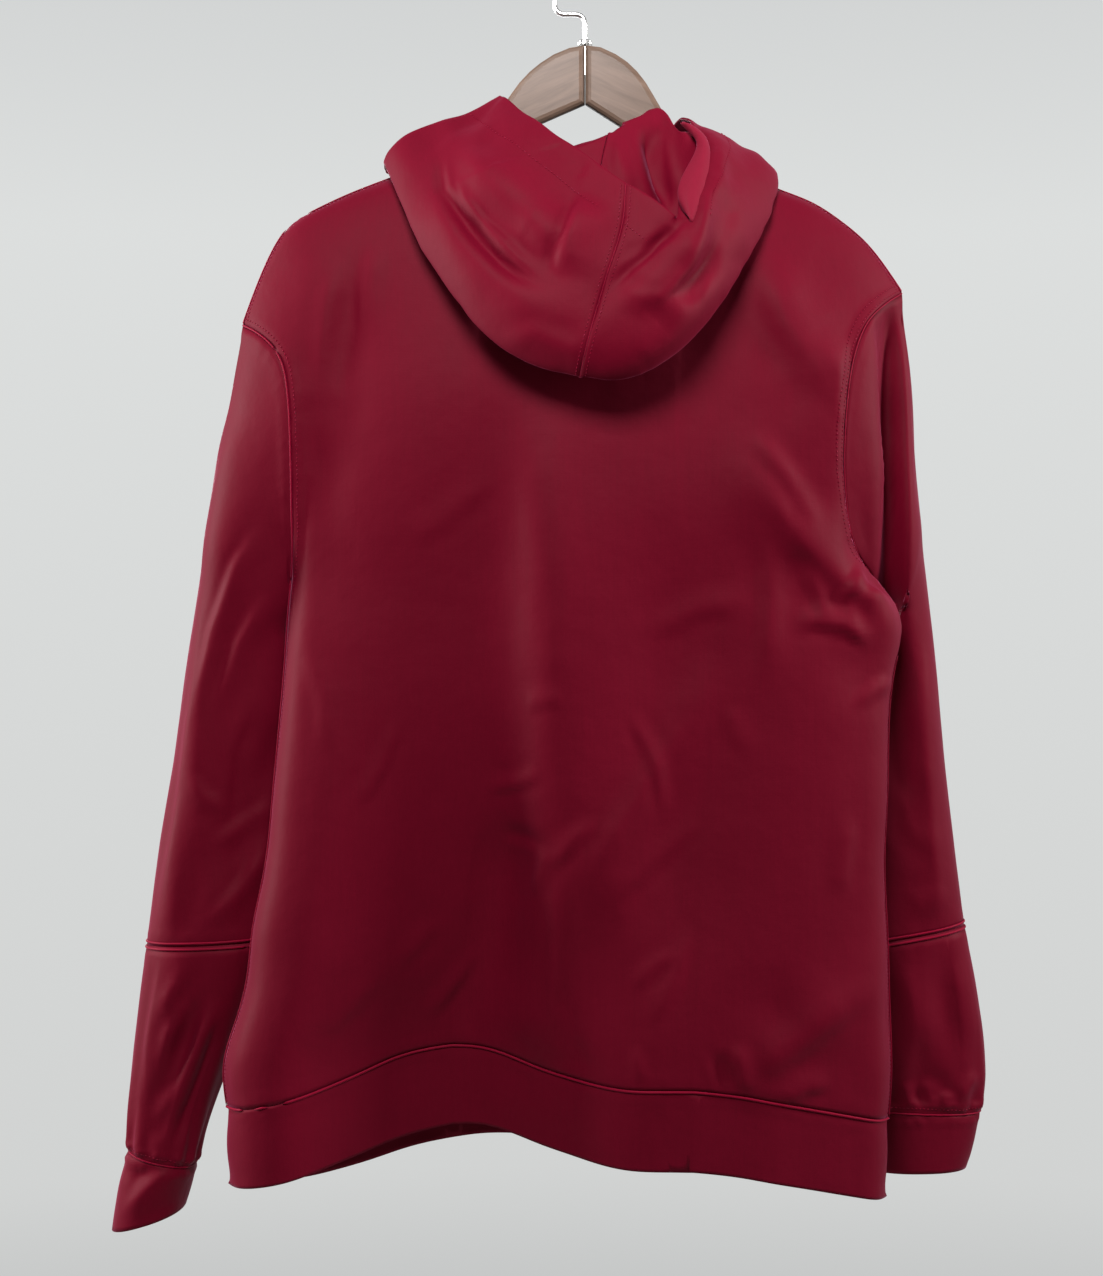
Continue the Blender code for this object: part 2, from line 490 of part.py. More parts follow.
def grid_tree(grids, sign):
    """Search tree of outer grids whose faces point out (or in, for a negative sign)."""
    points = []
    faces = []
    for grid in grids:
        base = len(points)
        rows, cols = grid.shape[:2]
        points += [tuple(p) for p in grid.reshape(-1, 3)]
        for i in range(rows - 1):
            for j in range(cols - 1):
                face = [base + i * cols + j, base + i * cols + j + 1, base + (i + 1) * cols + j + 1,
                        base + (i + 1) * cols + j]
                faces.append(face if sign > 0 else face[::-1])
    return BVHTree.FromPolygons(points, faces)


def lie_on(rows, trees, clearance):
    """Lift the points of a layer until they clear the cloth below."""
    for row in rows:
        for point in row:
            for tree in trees:
                spot, normal, _, _ = tree.find_nearest(tuple(point))
                depth = (point - np.array(spot)) @ np.array(normal)
                if depth < clearance and np.linalg.norm(point - np.array(spot)) < REST_REACH:
                    point += (clearance - depth) * np.array(normal)


def hood(neck_line, back, front):
    """Outer surface of the whole hood: rows from the neck seam to the rim, columns round the neck."""
    places = [0.0]
    for i, count in enumerate(SEAT_SPLITS + SEAT_SPLITS[::-1]):
        places.extend(i + np.arange(1, count + 1) / count)
    line = np.asarray(neck_line)
    seats = np.column_stack([np.interp(places, np.arange(len(line)), line[:, k]) for k in range(3)])
    angles = np.degrees(np.unwrap(np.arctan2(seats[:, 0] / NECK_HALF, -seats[:, 1] / NECK_BACK)))
    seats[:, 2] += SEAM_GAP
    table = np.array(HOOD_RUNS, float)
    rows = smooth(table[:, 0], table, angles)
    bottoms = rows[:, 4:7]
    outward = np.cross(np.gradient(bottoms, axis=0), rows[:, 10:13] - bottoms)
    outward[[0, -1]] = (0, -1, 0)
    outward /= np.linalg.norm(outward, axis=1)[:, None]
    runs = [hood_run(row, seat, out) for row, seat, out in zip(rows, seats, outward)]
    grid = np.array(runs).transpose(1, 0, 2)
    first_near = sum(HOOD_SPAN_ROWS[:6])
    lift = fold_height(grid[first_near:, :, 0], grid[first_near:, :, 2], HOOD_FOLDS)
    from_edges = np.ones(len(grid) - first_near)
    from_edges[[0, -2, -1]] = HOOD_FOLD_ENDS
    back_side = np.clip((grid[first_near:, :, 1] - HOOD_FOLD_FROM) / HOOD_FOLD_FULL, 0, 1)
    grid[first_near:] += (lift * from_edges[:, None] * back_side)[:, :, None] * outward[None, :, :]
    panels = [grid_tree([back], 1), grid_tree([front], -1)]
    first_turn = sum(HOOD_SPAN_ROWS[:4])
    carried = np.linspace(1, 0, len(grid) - first_turn + 1)[1:-1, None, None]
    for _ in range(REST_PASSES):
        before = grid[first_turn].copy()
        lie_on(grid[1:first_turn + 1], panels, HOOD_OVER_PANEL)
        grid[first_turn + 1:] += (grid[first_turn] - before) * carried
        lie_on(grid[first_turn + 1:], panels, HOOD_OVER_PANEL)
        below = grid_tree([grid[:first_turn + 1]], -1)
        lie_on(grid[first_near + 1:], [below], HOOD_OVER_HOOD)
    return grid


# ---------------------------------------------------------------- cloth solids
class Piece:
    """A sewn piece: its outer grid, its wall and which of its edges are seams."""

    def __init__(self, name, grid, wall, closed, seams, flip):
        self.name = name
        self.grid = grid
        self.wall = wall
        self.closed = closed
        self.seams = seams
        self.flip = flip


def key_of(point):
    return tuple(np.round(point * KEYS_PER_MM).astype(int))


def normal_sums(pieces):
    """Summed outward face normals at every grid point of a group of pieces."""
    total = {}
    for piece in pieces:
        grid = piece.grid
        right = np.roll(grid, -1, axis=1)
        if not piece.closed:
            right = right[:, :-1]
            grid = grid[:, :-1]
        normal = np.cross(right[1:] - grid[:-1], grid[1:] - right[:-1])
        normal /= np.linalg.norm(normal, axis=2)[:, :, None] * (-1 if piece.flip else 1)
        width = piece.grid.shape[1]
        for i in range(normal.shape[0]):
            for j in range(normal.shape[1]):
                for a, b in ((i, j), (i + 1, j), (i, (j + 1) % width), (i + 1, (j + 1) % width)):
                    key = key_of(piece.grid[a, b])
                    total[key] = total.get(key, 0) + normal[i, j]
    return {key: normal / np.linalg.norm(normal) for key, normal in total.items()}


def wall_normals(groups):
    """Normals for the walls: shared in a group, and between groups where their surfaces run on smoothly."""
    sums = [normal_sums(group) for group in groups]
    found = []
    for own, group in zip(sums, groups):
        for piece in group:
            normals = []
            for point in piece.grid.reshape(-1, 3):
                key = key_of(point)
                normal = own[key].copy()
                for other in sums:
                    if other is not own and key in other:
                        share = np.clip((own[key] @ other[key] - FOLD_LIMIT) / FOLD_LIMIT, 0, 1)
                        normal += share * other[key]
                normals.append(normal / np.linalg.norm(normal))
            found.append((piece, np.array(normals).reshape(piece.grid.shape)))
    return found


def add_material(obj, colour, roughness, metallic=0.0):
    material = bpy.data.materials.new(obj.name)
    material.use_nodes = True
    shader = material.node_tree.nodes["Principled BSDF"]
    shader.inputs["Base Color"].default_value = (*colour, 1)
    shader.inputs["Roughness"].default_value = roughness
    shader.inputs["Metallic"].default_value = metallic
    obj.data.materials.append(material)


def cloth_solid(piece, normals, collection):
    """Closed wall between the outer grid and its inner copy, drawn back from each seam by half the gap."""
    outer = piece.grid.copy()
    wall = piece.wall if np.ndim(piece.wall) else np.full(outer.shape[0], piece.wall)
    inner = outer - normals * wall[:, None, None]
    for edge in piece.seams:
        if edge == "first":
            away = outer[1] - outer[0]
            row = (0, slice(None))
        elif edge == "last":
            away = outer[-2] - outer[-1]
            row = (-1, slice(None))
        elif edge == "left":
            away = outer[:, 1] - outer[:, 0]
            row = (slice(None), 0)
        else:
            away = outer[:, -2] - outer[:, -1]
            row = (slice(None), -1)
        away = away / np.linalg.norm(away, axis=1)[:, None] * SEAM_GAP / 2
        outer[row] += away
        inner[row] += away
    rows, cols = outer.shape[:2]
    mesh = bmesh.new()
    skins = []
    for skin in (outer, inner):
        skins.append([[mesh.verts.new(p * MM) for p in line] for line in skin])
    spans = cols if piece.closed else cols - 1

    def face(*verts):
        mesh.faces.new(verts if not piece.flip else verts[::-1])

    for i in range(rows - 1):
        for j in range(spans):
            k = (j + 1) % cols
            face(skins[0][i][j], skins[0][i][k], skins[0][i + 1][k], skins[0][i + 1][j])
            face(skins[1][i][j], skins[1][i + 1][j], skins[1][i + 1][k], skins[1][i][k])
    for j in range(spans):
        k = (j + 1) % cols
        face(skins[0][0][j], skins[1][0][j], skins[1][0][k], skins[0][0][k])
        face(skins[0][-1][j], skins[0][-1][k], skins[1][-1][k], skins[1][-1][j])
    if not piece.closed:
        for i in range(rows - 1):
            face(skins[0][i][0], skins[0][i + 1][0], skins[1][i + 1][0], skins[1][i][0])
            face(skins[0][i][-1], skins[1][i][-1], skins[1][i + 1][-1], skins[0][i + 1][-1])
    bmesh.ops.triangulate(mesh, faces=mesh.faces[:], quad_method="SHORT_EDGE")
    data = bpy.data.meshes.new(piece.name)
    mesh.to_mesh(data)
    mesh.free()
    data.shade_smooth()
    data.set_sharp_from_angle(angle=math.radians(40))
    obj = bpy.data.objects.new(piece.name, data)
    collection.objects.link(obj)
    add_material(obj, CRIMSON, 0.62)
    return obj


# ---------------------------------------------------------------- hanger and hook
def flat_outline(name, points, thickness, rounding, collection):
    """Flat board with rounded edges from an outline in the XZ plane."""
    curve = bpy.data.curves.new(name, "CURVE")
    curve.dimensions = "2D"
    curve.fill_mode = "BOTH"
    curve.extrude = (thickness / 2 - rounding) * MM
    curve.bevel_depth = rounding * MM
    curve.bevel_resolution = 2
    curve.offset = -rounding * MM
    spline = curve.splines.new("POLY")
    spline.points.add(len(points) - 1)
    for spot, (x, z) in zip(spline.points, points):
        spot.co = (x * MM, z * MM, 0, 1)
    spline.use_cyclic_u = True
    obj = bpy.data.objects.new(name, curve)
    obj.rotation_euler = (math.radians(90), 0, 0)
    collection.objects.link(obj)
    return obj


def to_mesh_object(obj, collection):
    """The curve's solid as a mesh object, with its caps welded on."""
    bpy.context.view_layer.update()
    evaluated = obj.evaluated_get(bpy.context.evaluated_depsgraph_get())
    data = bpy.data.meshes.new_from_object(evaluated)
    work = bmesh.new()
    work.from_mesh(data)
    bmesh.ops.remove_doubles(work, verts=work.verts[:], dist=1e-6)
    bmesh.ops.recalc_face_normals(work, faces=work.faces[:])
    work.to_mesh(data)
    work.free()
    name = obj.name
    matrix = obj.matrix_world.copy()
    curve = obj.data
    bpy.data.objects.remove(obj)
    bpy.data.curves.remove(curve)
    solid = bpy.data.objects.new(name, data)
    solid.matrix_world = matrix
    collection.objects.link(solid)
    return solid


def hanger_arm(name, side, crown, foot, collection, cutter):
    """One wooden arm: crown, top edge under the cloth, rounded tip, lower edge and half of the inner V."""
    inner_x = side * WOOD_JOINT / 2
    xs = side * np.arange(WOOD_COVERED, abs(foot[0][0]) - 2, WOOD_STEP)
    top = [(x, float(shoulder_height(x)[0]) - WOOD_UNDER_CLOTH) for x in xs]
    outline = [(inner_x, crown[0][1]), *crown[1:], *top, *foot, (inner_x, WOOD_APEX)]
    if side < 0:
        outline = outline[::-1]
    obj = to_mesh_object(flat_outline(name, outline, WOOD_THICK, WOOD_ROUND, collection), collection)
    drill = obj.modifiers.new("stem_hole", "BOOLEAN")
    drill.operation = "DIFFERENCE"
    drill.object = cutter
    obj.data.shade_smooth()
    obj.data.set_sharp_from_angle(angle=math.radians(35))
    add_material(obj, WOOD_BROWN, 0.5)
    return obj


def hook_points():
    """Centre line of the wire: stem, sideways step, and the arc over the rail."""
    reach = HOOK_RADIUS + WIRE / 2
    step_foot = HOOK_STEP_Z - HOOK_BEND
    points = [(0.0, STEM_BOTTOM), (0.0, step_foot)]
    for angle in (30, 60, 90):
        turn = math.radians(angle)
        points.append((HOOK_BEND - HOOK_BEND * math.cos(turn), step_foot + HOOK_BEND * math.sin(turn)))
    for angle in (60, 30, 0):
        turn = math.radians(angle)
        points.append((reach - HOOK_BEND + HOOK_BEND * math.cos(turn),
                       HOOK_STEP_Z + HOOK_BEND - HOOK_BEND * math.sin(turn)))
    for i in range(HOOK_ARC_STEPS + 1):
        turn = math.radians(HOOK_ARC_END * i / HOOK_ARC_STEPS)
        points.append((reach * math.cos(turn), reach * math.sin(turn) - HOOK_RADIUS))
    return points


def make_hook(collection):
    curve = bpy.data.curves.new("hook", "CURVE")
    curve.dimensions = "3D"
    curve.bevel_depth = WIRE / 2 * MM
    curve.bevel_resolution = 2
    curve.use_fill_caps = True
    line = hook_points()
    spline = curve.splines.new("POLY")
    spline.points.add(len(line) - 1)
    for spot, (x, z) in zip(spline.points, line):
        spot.co = (x * MM, 0, z * MM, 1)
    obj = bpy.data.objects.new("hook", curve)
    collection.objects.link(obj)
    obj = to_mesh_object(obj, collection)
    obj.data.shade_smooth()
    add_material(obj, STEEL, 0.22, 1.0)
    return obj


def make_washer(collection):
    """Turned washer round the wire, seated on the crown of the wood."""
    inner = WIRE / 2 + WIRE_PLAY
    foot = WOOD_CROWN_LEFT[0][1] + SEAM_GAP
    top = foot + WASHER_HEIGHT
    profile = ((inner, foot), (inner, top), (WASHER_RADIUS - WASHER_EDGE, top),
               (WASHER_RADIUS, top - WASHER_ROUND), (WASHER_RADIUS, foot))
    data = bpy.data.meshes.new("hook_washer")
    data.from_pydata([(r * MM, 0, z * MM) for r, z in profile],
                     [(i, (i + 1) % len(profile)) for i in range(len(profile))], [])
    obj = bpy.data.objects.new("hook_washer", data)
    collection.objects.link(obj)
    turn = obj.modifiers.new("turned", "SCREW")
    turn.steps = WASHER_STEPS
    turn.render_steps = WASHER_STEPS
    turn.use_merge_vertices = True
    turn.merge_threshold = 1e-5
    turn.use_normal_calculate = True
    add_material(obj, STEEL, 0.25, 1.0)
    return obj


def join_panels(back, front):
    """Give the front the back's side folds and shoulder seams, so that the two share their seam points."""
    side = slice(0, SIDE_ROWS + 1)
    front[side, 0] = back[side, 0]
    front[side, -1] = back[side, -1]
    shoulder = np.abs(back[-1, :, 0]) >= NECK_HALF - NECK_EDGE
    front[-1, shoulder] = back[-1, shoulder]


def neck_loop(back, front):
    """Neck seam as one line, from centre front round the back to centre front."""
    neck = slice(SHOULDER_COLS, SHOULDER_COLS + NECK_COLS + 1)
    neck_back = back[-1, neck]
    neck_front = front[-1, neck]
    half = NECK_COLS // 2
    return np.concatenate((neck_front[half::-1], neck_back[1:], neck_front[-2:half - 1:-1]))


def stem_cutter(collection):
    """Cutter for the hole that takes the hook's stem."""
    bpy.ops.mesh.primitive_cylinder_add(
        vertices=16, radius=(WIRE / 2 + WIRE_PLAY) * MM, depth=STEM_HOLE * MM,
        location=(0, 0, (STEM_BOTTOM - WIRE_PLAY + STEM_HOLE / 2) * MM))
    cutter = bpy.context.object
    cutter.name = "stem_drill"
    cutter.hide_render = True
    cutter.display_type = "WIRE"
    for holder in list(cutter.users_collection):
        holder.objects.unlink(cutter)
    collection.objects.link(cutter)
    return cutter


def main():
    for obj in list(bpy.data.objects):
        bpy.data.objects.remove(obj)
    parts = bpy.data.collections.new("hoodie_on_hanger")
    cutters = bpy.data.collections.new("cutters")
    for collection in (parts, cutters):
        bpy.context.scene.collection.children.link(collection)

    back = panel(ARM_BACK_LEFT, ARM_BACK_RIGHT, BACK_DEPTH, NECK_BACK_DROP, NECK_BACK,
                 BAND_SEAM_BACK, BACK_FOLDS)
    front = panel(ARM_FRONT_LEFT, ARM_FRONT_RIGHT, FRONT_DEPTH, NECK_FRONT_DROP, -NECK_FRONT,
                  BAND_SEAM_FRONT, FRONT_FOLDS)
    join_panels(back, front)
    band = waistband(back[0], front[0])
    all_round = ("first", "last", "left", "right")
    groups = [[
        Piece("back", back, CLOTH, False, all_round, False),
        Piece("front", front, CLOTH, False, all_round, True),
        Piece("waistband", band, BAND_CLOTH, True, ("last",), False),
    ]]
    sleeves = (("left", ARM_BACK_LEFT, ARM_FRONT_LEFT, LEFT_RINGS, LEFT_SLEEVE_FOLDS),
               ("right", ARM_BACK_RIGHT, ARM_FRONT_RIGHT, RIGHT_RINGS, RIGHT_SLEEVE_FOLDS))
    for side, arm_back, arm_front, table, folds in sleeves:
        upper, lower, cuff = sleeve(arm_back, arm_front, table, folds)
        flip = side == "left"
        groups.append([
            Piece(f"sleeve_{side}_upper", upper, CLOTH, True, ("first", "last"), flip),
            Piece(f"sleeve_{side}_lower", lower, CLOTH, True, ("first", "last"), flip),
            Piece(f"cuff_{side}", cuff, BAND_CLOTH, True, ("first",), flip),
        ])
    for piece, normals in wall_normals(groups):
        cloth_solid(piece, normals, parts)

    whole_hood = hood(neck_loop(back, front), back, front)
    wall = np.full(len(whole_hood), CLOTH)
    wall[-HOOD_HEM_ROWS:] = HOOD_HEM_CLOTH
    halves = [
        Piece("hood_left", whole_hood[:, :HOOD_COLS + 1], wall, False, ("left", "right"), False),
        Piece("hood_right", whole_hood[:, HOOD_COLS:], wall, False, ("left", "right"), False),
    ]
    for piece, normals in wall_normals([halves]):
        cloth_solid(piece, normals, parts)

    drill = stem_cutter(cutters)
    hanger_arm("hanger_arm_left", 1, WOOD_CROWN_LEFT, WOOD_FOOT_LEFT, parts, drill)
    hanger_arm("hanger_arm_right", -1, WOOD_CROWN_RIGHT, WOOD_FOOT_RIGHT, parts, drill)
    make_hook(parts)
    make_washer(parts)


main()
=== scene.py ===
"""Looks of a crimson pullover hoodie that hangs on a wooden coat hanger, seen from its back."""
import math

import bmesh
import bpy
import numpy as np
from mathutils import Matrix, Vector, noise
from mathutils.bvhtree import BVHTree


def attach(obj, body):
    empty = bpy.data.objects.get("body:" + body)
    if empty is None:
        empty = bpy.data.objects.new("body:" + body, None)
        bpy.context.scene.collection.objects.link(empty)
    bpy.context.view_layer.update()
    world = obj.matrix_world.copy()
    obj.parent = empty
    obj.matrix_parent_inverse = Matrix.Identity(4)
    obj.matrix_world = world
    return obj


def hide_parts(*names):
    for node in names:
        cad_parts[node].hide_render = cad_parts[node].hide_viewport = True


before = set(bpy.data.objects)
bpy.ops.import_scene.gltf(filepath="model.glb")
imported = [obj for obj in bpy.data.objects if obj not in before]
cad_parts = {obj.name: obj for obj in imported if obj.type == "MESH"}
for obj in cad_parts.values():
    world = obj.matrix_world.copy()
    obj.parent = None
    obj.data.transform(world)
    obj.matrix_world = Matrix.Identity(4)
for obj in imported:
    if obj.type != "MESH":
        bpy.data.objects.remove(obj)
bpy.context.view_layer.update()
bpy.ops.object.select_all(action="DESELECT")

# ------------------------------------------------------------------ camera, studio light and floor
# A level camera a metre and a half behind the garment, at the height of its middle, looks at the back. The
# studio is pale past the garment and darker on the camera's side. A small softbox high up on that side lights
# the back, a narrow one stands at each side and a wide one lights the front. The floor is plain and pale.
focal_pixels = 1974.0
photo_height = 1276
camera_place = (0.025456, 1.5, -0.509878)
camera_data = bpy.data.cameras.new("camera")
camera_data.sensor_fit = "VERTICAL"
camera_data.sensor_height = 36.0
camera_data.lens = focal_pixels * camera_data.sensor_height / photo_height
camera = bpy.data.objects.new("camera", camera_data)
camera.location = camera_place
camera.rotation_euler = (math.radians(90), 0, math.radians(180))
bpy.context.scene.collection.objects.link(camera)
bpy.context.scene.camera = camera
bpy.context.scene.view_settings.view_transform = "Standard"

world = bpy.data.worlds.new("studio")
world.use_nodes = True
nodes, links = world.node_tree.nodes, world.node_tree.links
way = nodes.new("ShaderNodeTexCoord")
parts = nodes.new("ShaderNodeSeparateXYZ")
links.new(way.outputs["Generated"], parts.inputs["Vector"])
height = nodes.new("ShaderNodeMapRange")
height.inputs["From Min"].default_value = -1
links.new(parts.outputs["Z"], height.inputs["Value"])
pale_side = nodes.new("ShaderNodeValToRGB")
pale_side.color_ramp.elements[0].position = 0.0
pale_side.color_ramp.elements[0].color = (0.30, 0.31, 0.32, 1)
pale_side.color_ramp.elements[1].position = 1.0
pale_side.color_ramp.elements[1].color = (0.46, 0.47, 0.48, 1)
for place, colour in ((0.28, (0.36, 0.37, 0.375, 1)), (0.37, (0.64, 0.65, 0.645, 1)),
                      (0.60, (0.72, 0.735, 0.73, 1)), (0.78, (0.48, 0.49, 0.50, 1))):
    pale_side.color_ramp.elements.new(place).color = colour
links.new(height.outputs["Result"], pale_side.inputs["Fac"])
past_garment = nodes.new("ShaderNodeMapRange")
past_garment.interpolation_type = "SMOOTHSTEP"
past_garment.inputs["From Min"].default_value = 0.30
past_garment.inputs["From Max"].default_value = -0.60
links.new(parts.outputs["Y"], past_garment.inputs["Value"])
studio_shade = nodes.new("ShaderNodeMix")
studio_shade.data_type = "RGBA"
studio_shade.inputs["A"].default_value = (0.21, 0.21, 0.215, 1)
links.new(past_garment.outputs["Result"], studio_shade.inputs["Factor"])
links.new(pale_side.outputs["Color"], studio_shade.inputs["B"])
links.new(studio_shade.outputs["Result"], nodes["Background"].inputs["Color"])
bpy.context.scene.world = world


def soft_light(name, power, width, height, place, aim):
    """A rectangular softbox of so many watts, with its size, its place and the point it faces in metres."""
    light = bpy.data.lights.new(name, "AREA")
    light.shape = "RECTANGLE"
    light.size = width
    light.size_y = height
    light.energy = power
    lamp = bpy.data.objects.new(name, light)
    lamp.location = place
    lamp.rotation_euler = (Vector(aim) - Vector(place)).to_track_quat("-Z", "Y").to_euler()
    bpy.context.scene.collection.objects.link(lamp)


soft_light("key_softbox", 29, 0.5, 0.36, (0.14, 0.92, 0.36), (0, 0, -0.50))
soft_light("right_softbox", 36, 0.3, 0.7, (-1.40, 0.22, 0.02), (-0.20, 0, -0.35))
soft_light("left_softbox", 44, 0.3, 1.0, (1.45, -0.05, -0.20), (0.30, 0, -0.50))
soft_light("front_softbox", 30, 1.4, 0.9, (0.5, -1.9, 0.1), (0, 0, -0.55))

floor_level = -1.32
floor_width = 1.8
floor_depth = 1.3
bpy.ops.mesh.primitive_plane_add(size=1, location=(0, 0, floor_level))
floor = bpy.context.object
floor.name = "floor"
floor.scale = (floor_width, floor_depth, 1)
bpy.ops.object.transform_apply(scale=True, location=True)
floor_paint = bpy.data.materials.new("floor_paint")
floor_paint.use_nodes = True
floor_shader = floor_paint.node_tree.nodes["Principled BSDF"]
floor_shader.inputs["Base Color"].default_value = (0.34, 0.34, 0.335, 1)
floor_shader.inputs["Roughness"].default_value = 0.85
floor.data.materials.append(floor_paint)

# ------------------------------------------------------------------ hanger arms
# Two flat arms of brown hardwood, sawn to a curve, rounded over and joined in the middle under the hook.
# The grain runs out along each arm, and an old thin lacquer has gone nearly matt.
arm_slope = math.radians(24)


def hanger_wood(name, grain_turn):
    """Brown-grey hardwood whose grain runs along the arm, under a thin worn lacquer."""
    material = bpy.data.materials.new(name)
    material.use_nodes = True
    nodes, links = material.node_tree.nodes, material.node_tree.links
    shader = nodes["Principled BSDF"]
    place = nodes.new("ShaderNodeTexCoord")
    turn = nodes.new("ShaderNodeMapping")
    turn.vector_type = "TEXTURE"
    turn.inputs["Rotation"].default_value = (0, grain_turn, 0)
    links.new(place.outputs["Object"], turn.inputs["Vector"])
    stretch = nodes.new("ShaderNodeMapping")
    stretch.inputs["Scale"].default_value = (14, 160, 160)
    links.new(turn.outputs["Vector"], stretch.inputs["Vector"])
    grain = nodes.new("ShaderNodeTexNoise")
    grain.inputs["Scale"].default_value = 1.0
    grain.inputs["Detail"].default_value = 6
    grain.inputs["Roughness"].default_value = 0.65
    grain.inputs["Distortion"].default_value = 0.5
    links.new(stretch.outputs["Vector"], grain.inputs["Vector"])
    tone = nodes.new("ShaderNodeValToRGB")
    tone.color_ramp.elements[0].position = 0.3
    tone.color_ramp.elements[0].color = (0.070, 0.043, 0.030, 1)
    tone.color_ramp.elements[1].position = 0.72
    tone.color_ramp.elements[1].color = (0.122, 0.079, 0.059, 1)
    links.new(grain.outputs["Fac"], tone.inputs["Fac"])
    links.new(tone.outputs["Color"], shader.inputs["Base Color"])
    pores = nodes.new("ShaderNodeBump")
    pores.inputs["Strength"].default_value = 0.25
    pores.inputs["Distance"].default_value = 0.0003
    links.new(grain.outputs["Fac"], pores.inputs["Height"])
    links.new(pores.outputs["Normal"], shader.inputs["Normal"])
    shader.inputs["Roughness"].default_value = 0.7
    shader.inputs["Specular IOR Level"].default_value = 0.05
    shader.inputs["Coat Weight"].default_value = 0.25
    shader.inputs["Coat Roughness"].default_value = 0.3
    return material


for arm_node, grain_turn in (("hanger_arm_left", arm_slope), ("hanger_arm_right", -arm_slope)):
    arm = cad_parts[arm_node]
    arm_finish = hanger_wood(arm_node + "_wood", grain_turn)
    for place in arm.material_slots:
        place.material = arm_finish

# ------------------------------------------------------------------ hook and washer
# One length of bright steel wire, bent cold: a stem, a short sideways step and half a circle.
# A small turned washer closes the hole in the wood that the stem goes through.
wire_radius = 0.0019
stem_bottom = -0.082
step_level = -0.036
hook_inner_radius = 0.021
hook_bend_radius = 0.007
hook_arc = math.radians(183)
bend_steps = 8
arc_steps = 40


def bright_steel(name):
    """Bright drawn steel with faint marks along the wire."""
    material = bpy.data.materials.new(name)
    material.use_nodes = True
    nodes, links = material.node_tree.nodes, material.node_tree.links
    shader = nodes["Principled BSDF"]
    place = nodes.new("ShaderNodeTexCoord")
    marks = nodes.new("ShaderNodeTexNoise")
    marks.inputs["Scale"].default_value = 900
    marks.inputs["Detail"].default_value = 3
    links.new(place.outputs["Object"], marks.inputs["Vector"])
    gloss = nodes.new("ShaderNodeMapRange")
    gloss.inputs["To Min"].default_value = 0.14
    gloss.inputs["To Max"].default_value = 0.30
    links.new(marks.outputs["Fac"], gloss.inputs["Value"])
    links.new(gloss.outputs["Result"], shader.inputs["Roughness"])
    shader.inputs["Base Color"].default_value = (0.74, 0.73, 0.71, 1)
    shader.inputs["Metallic"].default_value = 1.0
    return material


steel = bright_steel("hook_wire_steel")
reach = hook_inner_radius + wire_radius
step_foot = step_level - hook_bend_radius
wire_line = [(0.0, stem_bottom), (0.0, (stem_bottom + step_foot) / 2), (0.0, step_foot)]
for i in range(1, bend_steps + 1):
    turn = math.radians(90) * i / bend_steps
    wire_line.append((hook_bend_radius * (1 - math.cos(turn)), step_foot + hook_bend_radius * math.sin(turn)))
for i in range(bend_steps, -1, -1):
    turn = math.radians(90) * i / bend_steps
    wire_line.append((reach - hook_bend_radius * (1 - math.cos(turn)),
                      step_level + hook_bend_radius * (1 - math.sin(turn))))
for i in range(1, arc_steps + 1):
    turn = hook_arc * i / arc_steps
    wire_line.append((reach * math.cos(turn), reach * math.sin(turn) - hook_inner_radius))
wire = bpy.data.curves.new("hook_wire", "CURVE")
wire.dimensions = "3D"
wire.bevel_depth = wire_radius
wire.bevel_resolution = 5
wire.use_fill_caps = True
path = wire.splines.new("POLY")
path.points.add(len(wire_line) - 1)
for spot, (x, z) in zip(path.points, wire_line):
    spot.co = (x, 0, z, 1)
hook = bpy.data.objects.new("hook_wire", wire)
bpy.context.scene.collection.objects.link(hook)
bpy.context.view_layer.objects.active = hook
hook.select_set(True)
bpy.ops.object.convert(target="MESH")
hook = bpy.context.object
hook.data.shade_smooth()
hook.data.materials.clear()
hook.data.materials.append(steel)
bpy.ops.object.select_all(action="DESELECT")
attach(hook, "root")
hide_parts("hook")
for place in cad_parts["hook_washer"].material_slots:
    place.material = steel

# ------------------------------------------------------------------ back panel
# One width of fine polyester double knit in deep crimson, smooth and faintly lustrous, cut with scooped
# armholes and sewn at the shoulders, sides, armholes and waistband. It hangs in long soft folds and is
# creased from storage.
single_wall = 0.002
double_wall = 0.003
sewn_gap = 0.0012
corner_turn = 52


